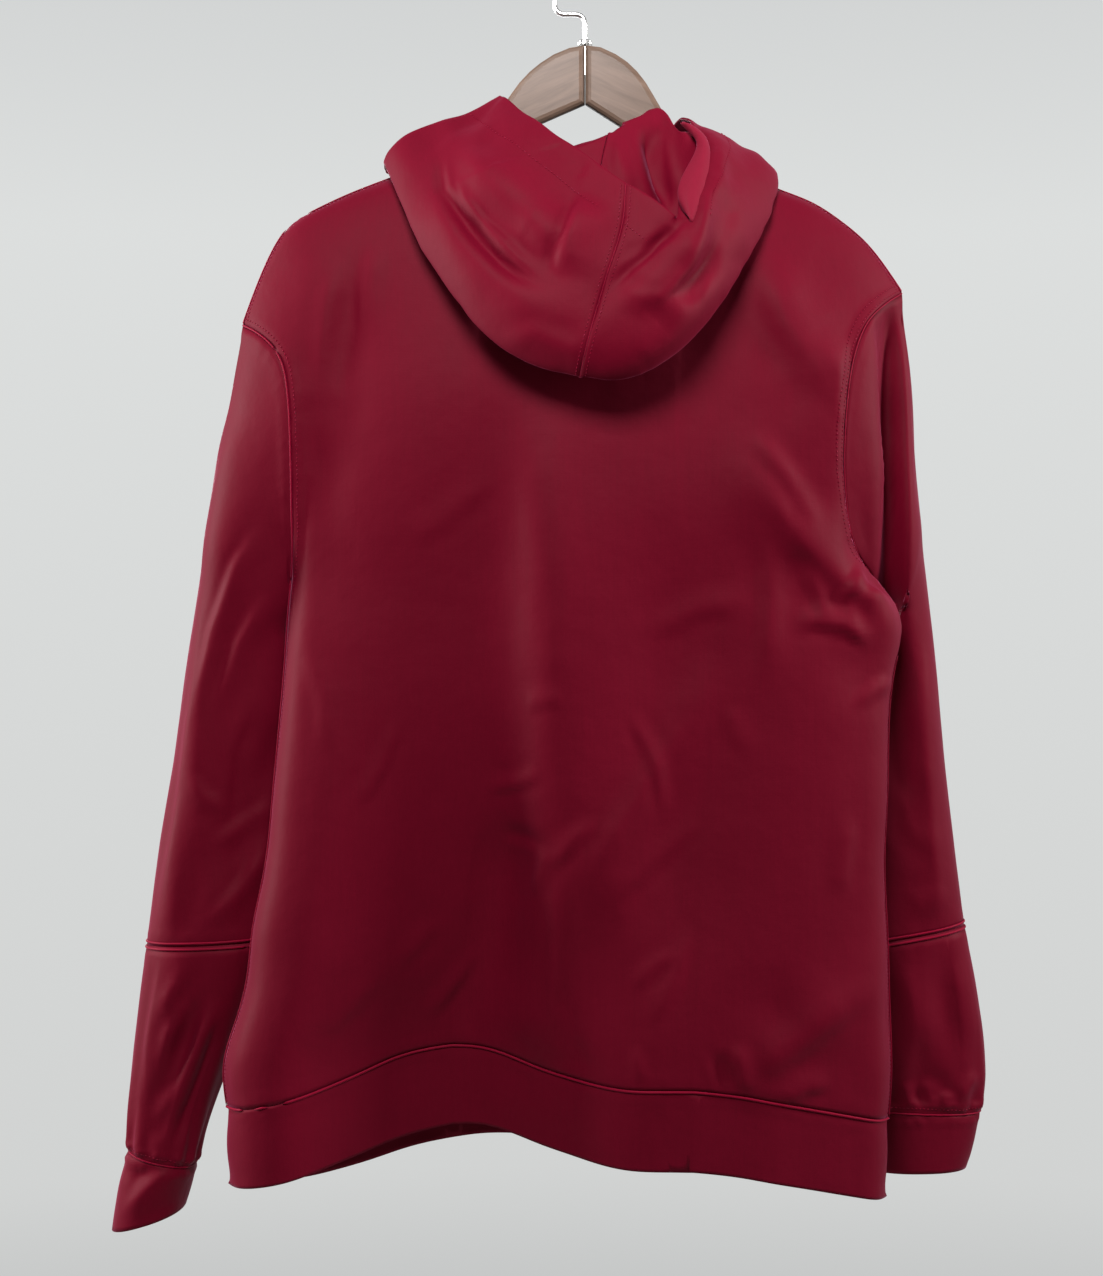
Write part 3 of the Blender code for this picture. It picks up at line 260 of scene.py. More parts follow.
def knit(name, colour, wale_turn=0.0, rough=0.60):
    """Double knit: fine wales and courses, faint shade changes, soft sheen."""
    shade_change = 0.14
    material = bpy.data.materials.new(name)
    material.use_nodes = True
    nodes, links = material.node_tree.nodes, material.node_tree.links
    shader = nodes["Principled BSDF"]
    place = nodes.new("ShaderNodeTexCoord")
    turn = nodes.new("ShaderNodeMapping")
    turn.inputs["Rotation"].default_value = (0, wale_turn, 0)
    links.new(place.outputs["Object"], turn.inputs["Vector"])

    cloudy = nodes.new("ShaderNodeTexNoise")
    cloudy.inputs["Scale"].default_value = 7
    cloudy.inputs["Detail"].default_value = 3
    links.new(turn.outputs["Vector"], cloudy.inputs["Vector"])
    streaks = nodes.new("ShaderNodeMapping")
    streaks.inputs["Scale"].default_value = (420, 420, 25)
    links.new(turn.outputs["Vector"], streaks.inputs["Vector"])
    grain = nodes.new("ShaderNodeTexNoise")
    grain.inputs["Scale"].default_value = 1
    grain.inputs["Detail"].default_value = 2
    links.new(streaks.outputs["Vector"], grain.inputs["Vector"])

    shade = nodes.new("ShaderNodeMix")
    shade.data_type = "RGBA"
    shade.inputs["A"].default_value = (*[c * (1 - shade_change) for c in colour], 1)
    shade.inputs["B"].default_value = (*[c * (1 + shade_change) for c in colour], 1)
    links.new(cloudy.outputs["Fac"], shade.inputs["Factor"])
    fleck = nodes.new("ShaderNodeMix")
    fleck.data_type = "RGBA"
    fleck.blend_type = "MULTIPLY"
    fleck.inputs["Factor"].default_value = 0.12
    links.new(shade.outputs["Result"], fleck.inputs["A"])
    links.new(grain.outputs["Fac"], fleck.inputs["B"])
    links.new(fleck.outputs["Result"], shader.inputs["Base Color"])

    gloss = nodes.new("ShaderNodeMapRange")
    gloss.inputs["To Min"].default_value = rough - 0.05
    gloss.inputs["To Max"].default_value = rough + 0.07
    links.new(cloudy.outputs["Fac"], gloss.inputs["Value"])
    links.new(gloss.outputs["Result"], shader.inputs["Roughness"])

    wales = nodes.new("ShaderNodeTexWave")
    wales.bands_direction = "X"
    wales.inputs["Scale"].default_value = 320
    wales.inputs["Distortion"].default_value = 0.6
    wales.inputs["Detail Scale"].default_value = 3
    links.new(turn.outputs["Vector"], wales.inputs["Vector"])
    courses = nodes.new("ShaderNodeTexWave")
    courses.bands_direction = "Z"
    courses.inputs["Scale"].default_value = 260
    courses.inputs["Distortion"].default_value = 0.8
    links.new(turn.outputs["Vector"], courses.inputs["Vector"])
    loops = nodes.new("ShaderNodeMath")
    loops.operation = "MULTIPLY"
    links.new(wales.outputs["Fac"], loops.inputs[0])
    links.new(courses.outputs["Fac"], loops.inputs[1])
    soft = nodes.new("ShaderNodeTexNoise")
    soft.inputs["Scale"].default_value = 55
    soft.inputs["Detail"].default_value = 4
    links.new(turn.outputs["Vector"], soft.inputs["Vector"])
    fine = nodes.new("ShaderNodeBump")
    fine.inputs["Strength"].default_value = 0.10
    fine.inputs["Distance"].default_value = 0.0003
    links.new(loops.outputs["Value"], fine.inputs["Height"])
    wrinkled = nodes.new("ShaderNodeBump")
    wrinkled.inputs["Strength"].default_value = 0.4
    wrinkled.inputs["Distance"].default_value = 0.0014
    links.new(soft.outputs["Fac"], wrinkled.inputs["Height"])
    links.new(fine.outputs["Normal"], wrinkled.inputs["Normal"])
    links.new(wrinkled.outputs["Normal"], shader.inputs["Normal"])
    shader.inputs["Specular IOR Level"].default_value = 0.05
    shader.inputs["Sheen Weight"].default_value = 0.12
    shader.inputs["Sheen Roughness"].default_value = 0.35
    shader.inputs["Sheen Tint"].default_value = (1.0, 0.24, 0.46, 1)
    return material


def outer_skin(node):
    """Outer face of a cloth wall as a sheet of quads, without its rim strips and its inner face."""
    weld_distance = 2e-6
    wall_tolerance = 4e-6
    sheet = bmesh.new()
    sheet.from_mesh(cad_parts[node].data)
    bmesh.ops.remove_doubles(sheet, verts=sheet.verts[:], dist=weld_distance)
    rims = [f for f in sheet.faces
            if any(abs(e.calc_length() - wall) < wall_tolerance
                   for e in f.edges for wall in (single_wall, double_wall))]
    bmesh.ops.delete(sheet, geom=rims, context="FACES")
    sides = []
    left = set(sheet.faces)
    while left:
        side = {left.pop()}
        edge_of_walk = list(side)
        while edge_of_walk:
            face = edge_of_walk.pop()
            for other in {f for e in face.edges for f in e.link_faces if f in left}:
                left.remove(other)
                side.add(other)
                edge_of_walk.append(other)
        sides.append(side)
    outer = max(sides, key=lambda side: sum(f.calc_area() for f in side))
    bmesh.ops.delete(sheet, geom=[f for f in sheet.faces if f not in outer], context="FACES")
    bmesh.ops.delete(sheet, geom=[v for v in sheet.verts if not v.link_faces], context="VERTS")
    bmesh.ops.join_triangles(sheet, faces=sheet.faces[:], angle_face_threshold=math.radians(80),
                             angle_shape_threshold=math.radians(80))
    sheet.verts.index_update()
    return sheet


cut_pieces = ("back", "front", "sleeve_left_upper", "sleeve_left_lower", "cuff_left", "sleeve_right_upper",
              "sleeve_right_lower", "cuff_right", "waistband", "hood_left", "hood_right")
skins = {node: outer_skin(node) for node in cut_pieces}
# Search trees over the cut pieces find where two of them meet, and a sharp turn of an edge is a sewn corner.
walls = {}
for node in cut_pieces:
    cad_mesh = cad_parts[node].data
    walls[node] = BVHTree.FromPolygons([v.co for v in cad_mesh.vertices],
                                       [p.vertices for p in cad_mesh.polygons])
sewn_corners = []
for sheet in skins.values():
    for v in sheet.verts:
        ends = [e.other_vert(v).co - v.co for e in v.link_edges if e.is_boundary]
        if len(ends) == 2 and math.degrees((-ends[0]).angle(ends[1])) > corner_turn:
            sewn_corners.append(v.co.copy())


def smooth_through(node, level):
    """Subdivide a cut piece so that its curved face still runs through every CAD point and every seam meets.

    Smoothing pulls the face inwards, so the points it starts from are moved out by what is missing.
    """
    sheet = skins[node]
    mesh = bpy.data.meshes.new("pattern")
    sheet.to_mesh(mesh)
    pinned = mesh.attributes.new("crease_vert", "FLOAT", "POINT")
    for v in sheet.verts:
        if v.is_boundary and any((v.co - c).length < sewn_gap for c in sewn_corners):
            pinned.data[v.index].value = 1.0
    pattern = bpy.data.objects.new("pattern", mesh)
    bpy.context.scene.collection.objects.link(pattern)
    rounder = pattern.modifiers.new("rounder", "SUBSURF")
    rounder.boundary_smooth = "PRESERVE_CORNERS"
    wanted = np.array([v.co for v in sheet.verts])
    held = wanted.copy()
    for levels in (1, 1, 1, level):
        rounder.levels = rounder.render_levels = levels
        mesh.vertices.foreach_set("co", held.ravel())
        mesh.update()
        curved = pattern.evaluated_get(bpy.context.evaluated_depsgraph_get()).data
        points = np.empty(len(curved.vertices) * 3)
        curved.vertices.foreach_get("co", points)
        points = points.reshape(-1, 3)
        faces = [tuple(p.vertices) for p in curved.polygons]
        held += wanted - points[:len(wanted)]
    bpy.data.objects.remove(pattern)
    return points, faces


def face_normals(points, faces):
    """Normal at each point, weighted by the area of the quads that meet there."""
    quads = np.array([f if len(f) == 4 else (*f, f[2]) for f in faces])
    a, b, c, d = (points[quads[:, k]] for k in range(4))
    flat = np.cross(c - a, d - b)
    flat[(quads[:, 2] == quads[:, 3])] = np.cross(b - a, c - a)[(quads[:, 2] == quads[:, 3])]
    normal = np.zeros_like(points)
    for k in range(4):
        np.add.at(normal, quads[:, k], flat)
    return normal / np.maximum(np.linalg.norm(normal, axis=1), 1e-12)[:, None]


def ramp(low, high, value):
    """A smooth step from 0 at the low value to 1 at the high one."""
    share = np.clip((value - low) / (high - low), 0, 1)
    return share * share * (3 - 2 * share)


def crease_height(x, z, creases):
    """Height in mm of soft ridges, or troughs below zero, with a shallow dip at each side.

    A crease gives its width to the left and to the right, its height and its line in x and z, all in mm. The
    left of a line drawn downwards is the wearer's left. Both ends of a line fade out.
    """
    dip_depth, dip_place = 0.3, 1.9
    height = np.zeros(len(x))
    for left, right, rise, line in creases:
        knots = np.array(line, float)
        steps = np.diff(knots, axis=0)
        spans = np.linalg.norm(steps, axis=1)
        starts = np.concatenate(([0], np.cumsum(spans)))
        nearest = np.full(len(x), 1e9)
        across = np.zeros(len(x))
        along = np.zeros(len(x))
        for knot, step, span, start in zip(knots, steps, spans, starts):
            dx, dz = x - knot[0], z - knot[1]
            share = np.clip((dx * step[0] + dz * step[1]) / span ** 2, 0, 1)
            off_x, off_z = dx - share * step[0], dz - share * step[1]
            gap = np.hypot(off_x, off_z)
            here = gap < nearest
            nearest[here] = gap[here]
            turn = step[0] * dz - step[1] * dx
            across[here] = (np.sign(turn) * gap)[here]
            along[here] = (start + share * span)[here]
        reach_out = np.where(across > 0, across / left, -across / right)
        share = along / starts[-1]
        taper = ramp(0, 0.3, share) * ramp(0, 0.35, 1 - share)
        dip = dip_depth * np.exp(-(reach_out - dip_place) ** 2)
        height += rise * taper * (np.exp(-reach_out ** 2) - dip)
    return height


def boundary_points(faces):
    """Pairs of points along the open edges, in the order in which their faces run."""
    seen = {}
    for f in faces:
        for a, b in zip(f, (*f[1:], f[0])):
            key = (min(a, b), max(a, b))
            seen[key] = None if key in seen else (a, b)
    return [pair for pair in seen.values() if pair]


def nearest_distance(points, targets):
    """Distance from each point to the nearest target, worked out in batches to spare memory."""
    batch = 4000
    best = np.empty(len(points))
    for start in range(0, len(points), batch):
        gaps = points[start:start + batch, None, :] - targets[None, :, :]
        best[start:start + batch] = np.sqrt((gaps ** 2).sum(axis=2).min(axis=1))
    return best


def waves(points, width, height, shift):
    """Even noise between -1 and 1 at each point, in waves of a width and a height."""
    return np.array([noise.noise(Vector((x / width, y / width, z / height)) + shift) for x, y, z in points])


# Points, faces, open edges and normals of each finished piece, for the hem and the sewn rows.
finished = {}


def cloth(node, name, level, wall, back_creases, front_creases, roll, seed, material, puff=0.75, leans=()):
    """Sew one cut piece: curved through the CAD points, creased, puffed beside its seams and given its wall.

    Creases are drawn as in crease_height. The roll gives the width and height of slow waves in metres and
    their strength in mm. Puff is the swelling beside a seam in mm. A lean shifts the cloth round a middle: x,
    z, half width, half height and the shift in x, y and z, all in mm; one in y moves only what faces back.
    """
    flat_margin = 11
    narrow, short, rumple_strength = 0.021, 0.034, 0.28
    pucker_size, pucker_strength, pucker_reach = 0.0065, 0.6, 7
    puff_middle, puff_width = 6, 3.2
    side_on, turned_round = -0.05, 0.35
    points, faces = smooth_through(node, level)
    normal = face_normals(points, faces)
    edges = boundary_points(faces)
    on_edge = sorted({i for pair in edges for i in pair})
    from_edge = nearest_distance(points, points[on_edge]) * 1000
    x, z = points[:, 0] * 1000, points[:, 2] * 1000
    faces_back = ramp(side_on, turned_round, normal[:, 1])
    faces_front = ramp(side_on, turned_round, -normal[:, 1])
    lift = crease_height(x, z, back_creases) * faces_back + crease_height(x, z, front_creases) * faces_front
    wide, tall, strength = roll
    shift = Vector((seed * 3.7, seed * 1.3, -seed * 2.1))
    rumple = rumple_strength * waves(points, narrow, short, -shift)
    lift += strength * waves(points, wide, tall, shift) + rumple
    lift *= ramp(0, flat_margin, from_edge)
    others = [other for other in cut_pieces if other != node]
    seam_points = []
    for i in on_edge:
        if any(walls[other].find_nearest(Vector(points[i]), sewn_gap)[0] is not None for other in others):
            seam_points.append(i)
    if seam_points:
        from_seam = nearest_distance(points, points[seam_points]) * 1000
        pucker = np.array([noise.noise(Vector(p) / pucker_size + shift) for p in points])
        lift += puff * np.exp(-((from_seam - puff_middle) / puff_width) ** 2) * (1 + 0.8 * pucker)
        lift += pucker_strength * puff * pucker * np.exp(-from_seam / pucker_reach) * ramp(0, 2.5, from_seam)
    points = points + normal * (lift / 1000)[:, None]
    for middle_x, middle_z, half_width, half_height, shift_x, shift_y, shift_z in leans:
        near = np.exp(-((x - middle_x) / half_width) ** 2 - ((z - middle_z) / half_height) ** 2)
        near *= ramp(0, flat_margin, from_edge) * (1 if shift_y == 0 else faces_back)
        points += near[:, None] * np.array([shift_x, shift_y, shift_z]) / 1000
    mesh = bpy.data.meshes.new(name)
    mesh.from_pydata([tuple(p) for p in points], [], faces)
    mesh.update()
    finished[node] = (points, faces, edges, face_normals(points, faces))
    piece = bpy.data.objects.new(name, mesh)
    bpy.context.scene.collection.objects.link(piece)
    thickness = piece.modifiers.new("wall", "SOLIDIFY")
    thickness.thickness = wall
    thickness.offset = -1
    bpy.context.view_layer.objects.active = piece
    piece.select_set(True)
    bpy.ops.object.modifier_apply(modifier="wall")
    bpy.ops.object.select_all(action="DESELECT")
    piece.data.shade_smooth()
    piece.data.materials.append(material)
    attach(piece, "root")
    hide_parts(node)
    return piece


crimson = (0.081, 0.0003, 0.0068)
body_knit = knit("body_knit", crimson)
back_lines = (
    # folds that hang from the two shoulders
    (7, 10, 1.6, ((182, -222), (189, -252), (195, -292), (199, -336))),
    (6, 9, 1.2, ((154, -213), (163, -247), (165, -289))),
    (26, 45, -5, ((177, -230), (196, -321), (210, -424), (214, -520))),
    (12, 24, 4.4, ((-124, -226), (-148, -276), (-173, -314), (-193, -354))),
    (9, 16, 2.2, ((-167, -284), (-189, -315), (-199, -358))),
    # creases round the right underarm
    (14, 8, 3.0, ((-236, -508), (-200, -476), (-160, -440), (-122, -388))),
    (9, 4, 3.2, ((-214, -516), (-190, -500), (-166, -498), (-150, -504))),
    (4, 8, -2.6, ((-214, -490), (-196, -482), (-180, -490))),
    (4, 7, 2.6, ((-209, -450), (-196, -474), (-184, -494))),
    (4, 7, 2.0, ((-222, -470), (-206, -484), (-188, -490))),
    (6, 10, 2.2, ((-133, -438), (-136, -482), (-132, -541))),
    (4, 7, 1.8, ((-160, -455), (-172, -478), (-178, -500))),
    # two broad troughs, with the long middle fold standing between them
    (110, 38, -12, ((80, -310), (82, -450), (80, -600), (76, -720), (72, -835))),
    (38, 60, -7, ((-60, -400), (-66, -560), (-70, -700), (-78, -820))),
    # small creases on the middle fold and beside it, left by folding
    (5, 7, 1.5, ((25, -678), (21, -731), (25, -782), (24, -820))),
    (4, 6, 1.5, ((75, -626), (52, -618), (29, -607))),
    (4, 6, -1.2, ((66, -660), (45, -659), (27, -664))),
    (4, 6, 1.6, ((29, -662), (33, -681), (40, -702))),
    (4, 7, 1.6, ((28, -683), (12, -662), (-10, -642))),
    (5, 7, 1.0, ((48, -560), (30, -555), (15, -554))),
    (6, 9, 1.4, ((-1, -688), (-39, -628), (-76, -564))),
    (5, 8, 1.0, ((-104, -559), (-116, -597))),
    (5, 8, 1.2, ((-16, -706), (-50, -674), (-85, -642))),
    (4, 6, 1.2, ((-33, -768), (-50, -751), (-67, -738))),
    (5, 8, 1.3, ((-47, -797), (-63, -764), (-76, -724))),
    (6, 9, 1.6, ((-186, -702), (-192, -665), (-195, -637))),
    # the pouch over the right end of the waistband and the gathers beside it
    (26, 11, -3.4, ((-132, -850), (-152, -832), (-178, -812), (-206, -792), (-228, -778))),
    (5, 10, 3.0, ((-140, -856), (-160, -842), (-184, -838))),
    (5, 8, 2.4, ((-106, -806), (-112, -824), (-118, -850))),
    (4, 8, -2.0, ((-92, -812), (-99, -830), (-104, -850))),
    (4, 6, 1.4, ((-34, -809), (-39, -836))),
    # faint long creases at the lower left and in the middle
    (6, 10, 1.2, ((195, -807), (173, -782), (152, -760))),
    (5, 8, 1.0, ((142, -760), (122, -738), (107, -720))),
    (8, 14, -1.6, ((-1, -839), (12, -804), (18, -760))),
    # sharp creases below the right armhole and single ones elsewhere
    (4, 5, -2.2, ((-236, -478), (-214, -468), (-196, -452))),
    (4, 6, 2.4, ((-240, -470), (-222, -456), (-206, -434), (-196, -410))),
    (4, 6, 2.0, ((-232, -540), (-212, -548), (-196, -562))),
    (5, 7, 1.8, ((-118, -356), (-148, -392), (-176, -436))),
    (4, 6, 1.4, ((170, -640), (150, -602), (138, -566))),
    (4, 6, 1.3, ((120, -800), (96, -770), (80, -744))),
    (4, 6, 1.3, ((-30, -560), (-52, -604), (-60, -648))),
    (6, 9, 1.0, ((210, -511), (195, -555), (193, -599))),
    (6, 9, 1.2, ((-39, -511), (-83, -489), (-127, -482))),
    (6, 10, 0.9, ((136, -438), (107, -424), (63, -387))),
)
back = cloth("back", "back_panel", 3, single_wall, back_lines, (), (0.11, 0.22, 1.5), 1, body_knit, 0.35)

# ------------------------------------------------------------------ front panel
# Cut like the back but with a lower neck, in one plain piece. It hangs free in front of the hanger.
front_lines = (
    (10, 16, 2.4, ((120, -250), (145, -310), (172, -380))),
    (12, 18, 2.6, ((-118, -255), (-140, -320), (-176, -390))),
    (7, 11, 1.8, ((45, -262), (70, -330), (60, -410))),
    (8, 12, -2.0, ((-30, -300), (-42, -380), (-20, -470))),
    (24, 30, 3.0, ((-70, -400), (-66, -560), (-74, -700), (-60, -820))),
    (26, 34, -2.6, ((84, -430), (92, -600), (78, -760))),
    (6, 9, 1.6, ((176, -470), (140, -500), (96, -512))),
    (6, 10, 2.0, ((-190, -500), (-152, -476), (-120, -430))),
    (5, 8, 1.4, ((30, -640), (-4, -622), (-40, -628))),
    (5, 8, 1.5, ((160, -800), (122, -770), (96, -724))),
    (6, 9, 1.8, ((-170, -806), (-128, -782), (-100, -740))),
    (5, 8, 1.3, ((20, -836), (30, -800), (24, -752))),
)
front = cloth("front", "front_panel", 2, single_wall, (), front_lines, (0.10, 0.20, 1.6), 2, body_knit, 0.35)

# ------------------------------------------------------------------ sleeves and forearm pieces
# Each sleeve is one tube sewn to the armhole, cut across at the forearm and joined again with a raised seam.
# They hang straight down beside the body with long folds; the right one is gathered into its cuff.
left_sleeve_knit = knit("left_sleeve_knit", crimson, math.radians(-8))
right_sleeve_knit = knit("right_sleeve_knit", crimson, math.radians(4))
sleeve_left_lines = (
    (5, 12, 2.6, ((289, -481), (297, -560), (309, -650), (318, -701), (322, -742))),
    (4, 8, 2.0, ((240, -420), (262, -455), (282, -505), (296, -575))),
    (4, 8, 1.6, ((236, -470), (262, -515), (283, -575))),
    (4, 8, 1.8, ((236, -634), (262, -652), (284, -669))),
    (4, 8, 1.8, ((240, -668), (262, -700), (286, -728))),
    (5, 9, -1.6, ((248, -560), (262, -600), (268, -660))),
    (4, 7, 1.4, ((270, -640), (288, -630), (302, -612))),
    (14, 20, 3.0, ((268, -330), (276, -400), (284, -480))),
)
sleeve_left_front = (
    (8, 12, 2.0, ((262, -470), (284, -540), (300, -620))),
    (6, 9, 1.6, ((300, -690), (280, -664), (262, -650))),
    (7, 10, -1.6, ((270, -560), (280, -630), (290, -700))),
)
sleeve_right_lines = (
    (24, 3, 4.5, ((-211, -256), (-214, -282), (-216, -312), (-218, -352), (-224, -390), (-226, -440))),
    (9, 8, -2, ((-222, -276), (-225, -310), (-227, -352), (-231, -395), (-233, -440), (-235, -480))),
    (5, 12, 4.0, ((-245, -258), (-240, -311), (-238, -388), (-236, -481), (-236, -520))),
    (8, 14, 1.8, ((-262, -511), (-257, -573), (-262, -658))),
    (7, 10, 1.2, ((-243, -619), (-254, -658), (-274, -681))),
    (7, 10, 1.2, ((-281, -704), (-266, -712), (-247, -715))),
)
sleeve_right_front = (
    (8, 12, 2.0, ((-225, -480), (-238, -560), (-246, -640))),
    (6, 9, 1.6, ((-270, -600), (-250, -622), (-228, -630))),
    (6, 9, -1.4, ((-250, -660), (-258, -700), (-262, -730))),
)
sleeve_left_leans = ((226, -505, 16, 60, -7, 0, 0),)
sleeve_right_leans = tuple((-229 - k, -292 - 50 * k, 8, 34, 0, -15, 0) for k in range(5))
sleeve_left = cloth("sleeve_left_upper", "sleeve_left", 3, single_wall, sleeve_left_lines, sleeve_left_front,
                    (0.05, 0.12, 1.0), 3, left_sleeve_knit, 0.5, sleeve_left_leans)
sleeve_right = cloth("sleeve_right_upper", "sleeve_right", 3, single_wall, sleeve_right_lines,
                     sleeve_right_front, (0.05, 0.12, 1.0), 4, right_sleeve_knit, 0.2, sleeve_right_leans)
forearm_left_lines = (
    (6, 12, 4.5, ((280, -778), (292, -818), (312, -856), (330, -884))),
    (4, 5, -4.0, ((276, -792), (290, -834), (304, -872), (312, -902))),
    (4, 7, 2.4, ((284, -764), (304, -790), (325, -828))),
    (4, 7, 1.8, ((292, -754), (312, -776), (328, -800))),
    (4, 9, 2.4, ((321, -751), (324, -774), (331, -815), (333, -861))),
)
forearm_right_lines = (
    (5, 7, 2.6, ((-262, -852), (-269, -866), (-274, -878))),
    (5, 7, 2.4, ((-282, -861), (-281, -871), (-284, -880))),
    (5, 7, 2.4, ((-307, -847), (-297, -861), (-292, -878))),
    (5, 7, 2.0, ((-249, -854), (-252, -868), (-255, -880))),
    (8, 12, 1.8, ((-246, -760), (-257, -799), (-260, -838))),
    (8, 12, 1.5, ((-288, -760), (-294, -799), (-302, -830))),
)
forearm_left = cloth("sleeve_left_lower", "forearm_left", 3, single_wall, forearm_left_lines,
                     forearm_left_lines[:3], (0.05, 0.08, 1.0), 5, left_sleeve_knit)
forearm_right = cloth("sleeve_right_lower", "forearm_right", 3, single_wall, forearm_right_lines,
                      forearm_right_lines[:4], (0.05, 0.08, 1.0), 6, right_sleeve_knit)

# ------------------------------------------------------------------ cuffs
# A strip of the same knit folded double and sewn to the end of each sleeve; the left one has twisted.
cuff_left_lines = (
    (5, 12, 3.0, ((300, -900), (318, -916), (338, -934), (352, -950))),
    (7, 5, -2.4, ((318, -896), (334, -912), (352, -926))),
)
cuff_roll = (0.04, 0.03, 0.6)
cuff_left = cloth("cuff_left", "cuff_left_band", 3, double_wall, cuff_left_lines, (), cuff_roll, 7,
                  left_sleeve_knit)
cuff_right = cloth("cuff_right", "cuff_right_band", 3, double_wall, (), (), cuff_roll, 8, right_sleeve_knit)

# ------------------------------------------------------------------ waistband
# A strip of the same knit folded double along the hem and sewn on with a single raised row. Its ends are
# joined near the left side of the front, and that join dents the lower edge.
waistband_leans = ((183.5, -922, 7, 9, 0, 0, 4),)
waistband = cloth("waistband", "waistband_strip", 3, double_wall, (), (), (0.06, 0.04, 0.8), 9, body_knit,
                  0.2, waistband_leans)

# ------------------------------------------------------------------ hood
# Two shaped halves joined along the crown, sewn to the neck and hemmed round the face. It hangs empty down
# the back in soft layers over the hanger.
# The hood's knit is the body's crimson made 6% lighter: painted light, standing in for the brighter light
# that falls on the hood high on the hanger.
hood_knit_painted_lighter = knit("hood_knit_painted_lighter", tuple(c * 1.06 for c in crimson))
hood_lines_left = (
    (7, 4, -4.0, ((98, -170), (92, -196), (73, -224), (52, -247), (30, -260))),
    (4, 45, 6, ((103, -146), (98, -180), (78, -210), (57, -235), (33, -250), (20, -253))),
    (26, 4, 5, ((22, -254), (17, -235), (10, -214), (0, -188))),
    (14, 18, 2.0, ((122, -186), (106, -216), (84, -246), (58, -276))),
    (9, 6, 1.6, ((66, -297), (38, -293), (12, -303), (-14, -313))),
)
hood_lines_right = (
    (4, 8, -2.4, ((-96, -226), (-84, -246), (-66, -266), (-46, -280))),
    (8, 5, 1.6, ((-22, -262), (-40, -270), (-62, -270))),
    (4, 14, 3.2, ((-76, -212), (-62, -230), (-40, -249), (-24, -262), (-14, -274))),
    (8, 14, 3.0, ((-97, -170), (-111, -201), (-106, -240))),
    (4, 8, 1.6, ((-66, -226), (-44, -236), (-22, -246), (4, -250))),
)
hood_hollow_right = (
    (6, 8, 9, ((-42, -132), (-47, -155), (-52, -176), (-62, -202))),
    (7, 7, -3, ((-20, -140), (-24, -165), (-34, -190))),
)
hood_left = cloth("hood_left", "hood_left_half", 3, single_wall, hood_lines_left, (), (0.05, 0.05, 0.7), 10,
                  hood_knit_painted_lighter, 0.2)
hood_right = cloth("hood_right", "hood_right_half", 3, single_wall, hood_lines_right, hood_hollow_right,
                   (0.05, 0.05, 0.7), 11, hood_knit_painted_lighter, 0.2)

# ------------------------------------------------------------------ hem turned out at the hood's right end
# The hem round the hood's opening is folded to the inside and stitched. At its right end it has rolled
# outwards, so a strip of its smooth inner face shows. Each pair gives x and z in mm of its rim and its foot.
hem_roll = (((-69, -129), (-79, -131)), ((-75, -136), (-87, -138)), ((-81, -143), (-90, -146)),
            ((-81, -152), (-91, -157)), ((-76, -163), (-89, -172)), ((-69, -176), (-86, -187)),
            ((-64, -189), (-82, -201)), ((-65, -200), (-79, -210)), ((-69, -208), (-75, -216)))
hem_wall = 0.0022
hem_swell = 0.0028
rim_turn = 0.004
foot_sink = 0.001
first_tuck, second_tuck, last_tuck = 0.007, 0.003, 0.003
across = 8
far_behind = 0.4


def finished_face(node):
    """Search tree over the outer face of a finished piece."""
    points, faces = finished[node][:2]
    return BVHTree.FromPolygons([Vector(p) for p in points], faces)


def evened(heights):
    """The same row of heights with each one between its ends drawn towards its neighbours."""
    inner = [(a + 2 * b + c) / 4 for a, b, c in zip(heights, heights[1:], heights[2:])]
    return [heights[0]] + inner + [heights[-1]]


hood_face = finished_face("hood_right")
rim = []
landing = []
for (left_x, left_z), (right_x, right_z) in hem_roll:
    hits = []
    for k in range(across + 1):
        share = k / across
        start = Vector(((left_x + (right_x - left_x) * share) / 1000, far_behind,
                        (left_z + (right_z - left_z) * share) / 1000))
        spot = hood_face.ray_cast(start, Vector((0, -1, 0)))[0]
        hits.append(spot.y if spot else 0.0)
    rim.append(max(hits))
    landing.append(hits[-1])
rim[0], rim[1] = rim[2] - first_tuck, rim[2] - second_tuck
landing[0], landing[1] = rim[0], rim[1]
rim[-1] = landing[-1] - last_tuck
for _ in range(2):
    rim = evened(rim)
    landing = evened(landing)
roll_points = []
for ((left_x, left_z), (right_x, right_z)), top, foot in zip(hem_roll, rim, landing):
    for k in range(across + 1):
        share = k / across
        y = top + (foot - foot_sink - top) * share ** 2.5 + hem_swell * math.sin(math.pi * share) ** 0.7
        y -= rim_turn * (1 - share) ** 4
        roll_points.append(((left_x + (right_x - left_x) * share) / 1000, y,
                            (left_z + (right_z - left_z) * share) / 1000))
roll_faces = []
for row in range(len(hem_roll) - 1):
    for k in range(across):
        a = row * (across + 1) + k
        roll_faces.append((a, a + across + 1, a + across + 2, a + 1))
roll_mesh = bpy.data.meshes.new("hood_hem_roll")
roll_mesh.from_pydata(roll_points, [], roll_faces)
roll_mesh.update()
if roll_mesh.polygons[0].normal.y < 0:
    roll_mesh.flip_normals()
hem_piece = bpy.data.objects.new("hood_hem_roll", roll_mesh)
bpy.context.scene.collection.objects.link(hem_piece)
rounding = hem_piece.modifiers.new("round", "SUBSURF")
rounding.levels = rounding.render_levels = 2
wall = hem_piece.modifiers.new("wall", "SOLIDIFY")
wall.thickness = hem_wall
wall.offset = -1
bpy.context.view_layer.objects.active = hem_piece
hem_piece.select_set(True)
bpy.ops.object.modifier_apply(modifier="round")
bpy.ops.object.modifier_apply(modifier="wall")
bpy.ops.object.select_all(action="DESELECT")
hem_piece.data.shade_smooth()
hem_piece.data.materials.append(knit("hem_inner_knit", (0.118, 0.004, 0.014)))
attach(hem_piece, "root")

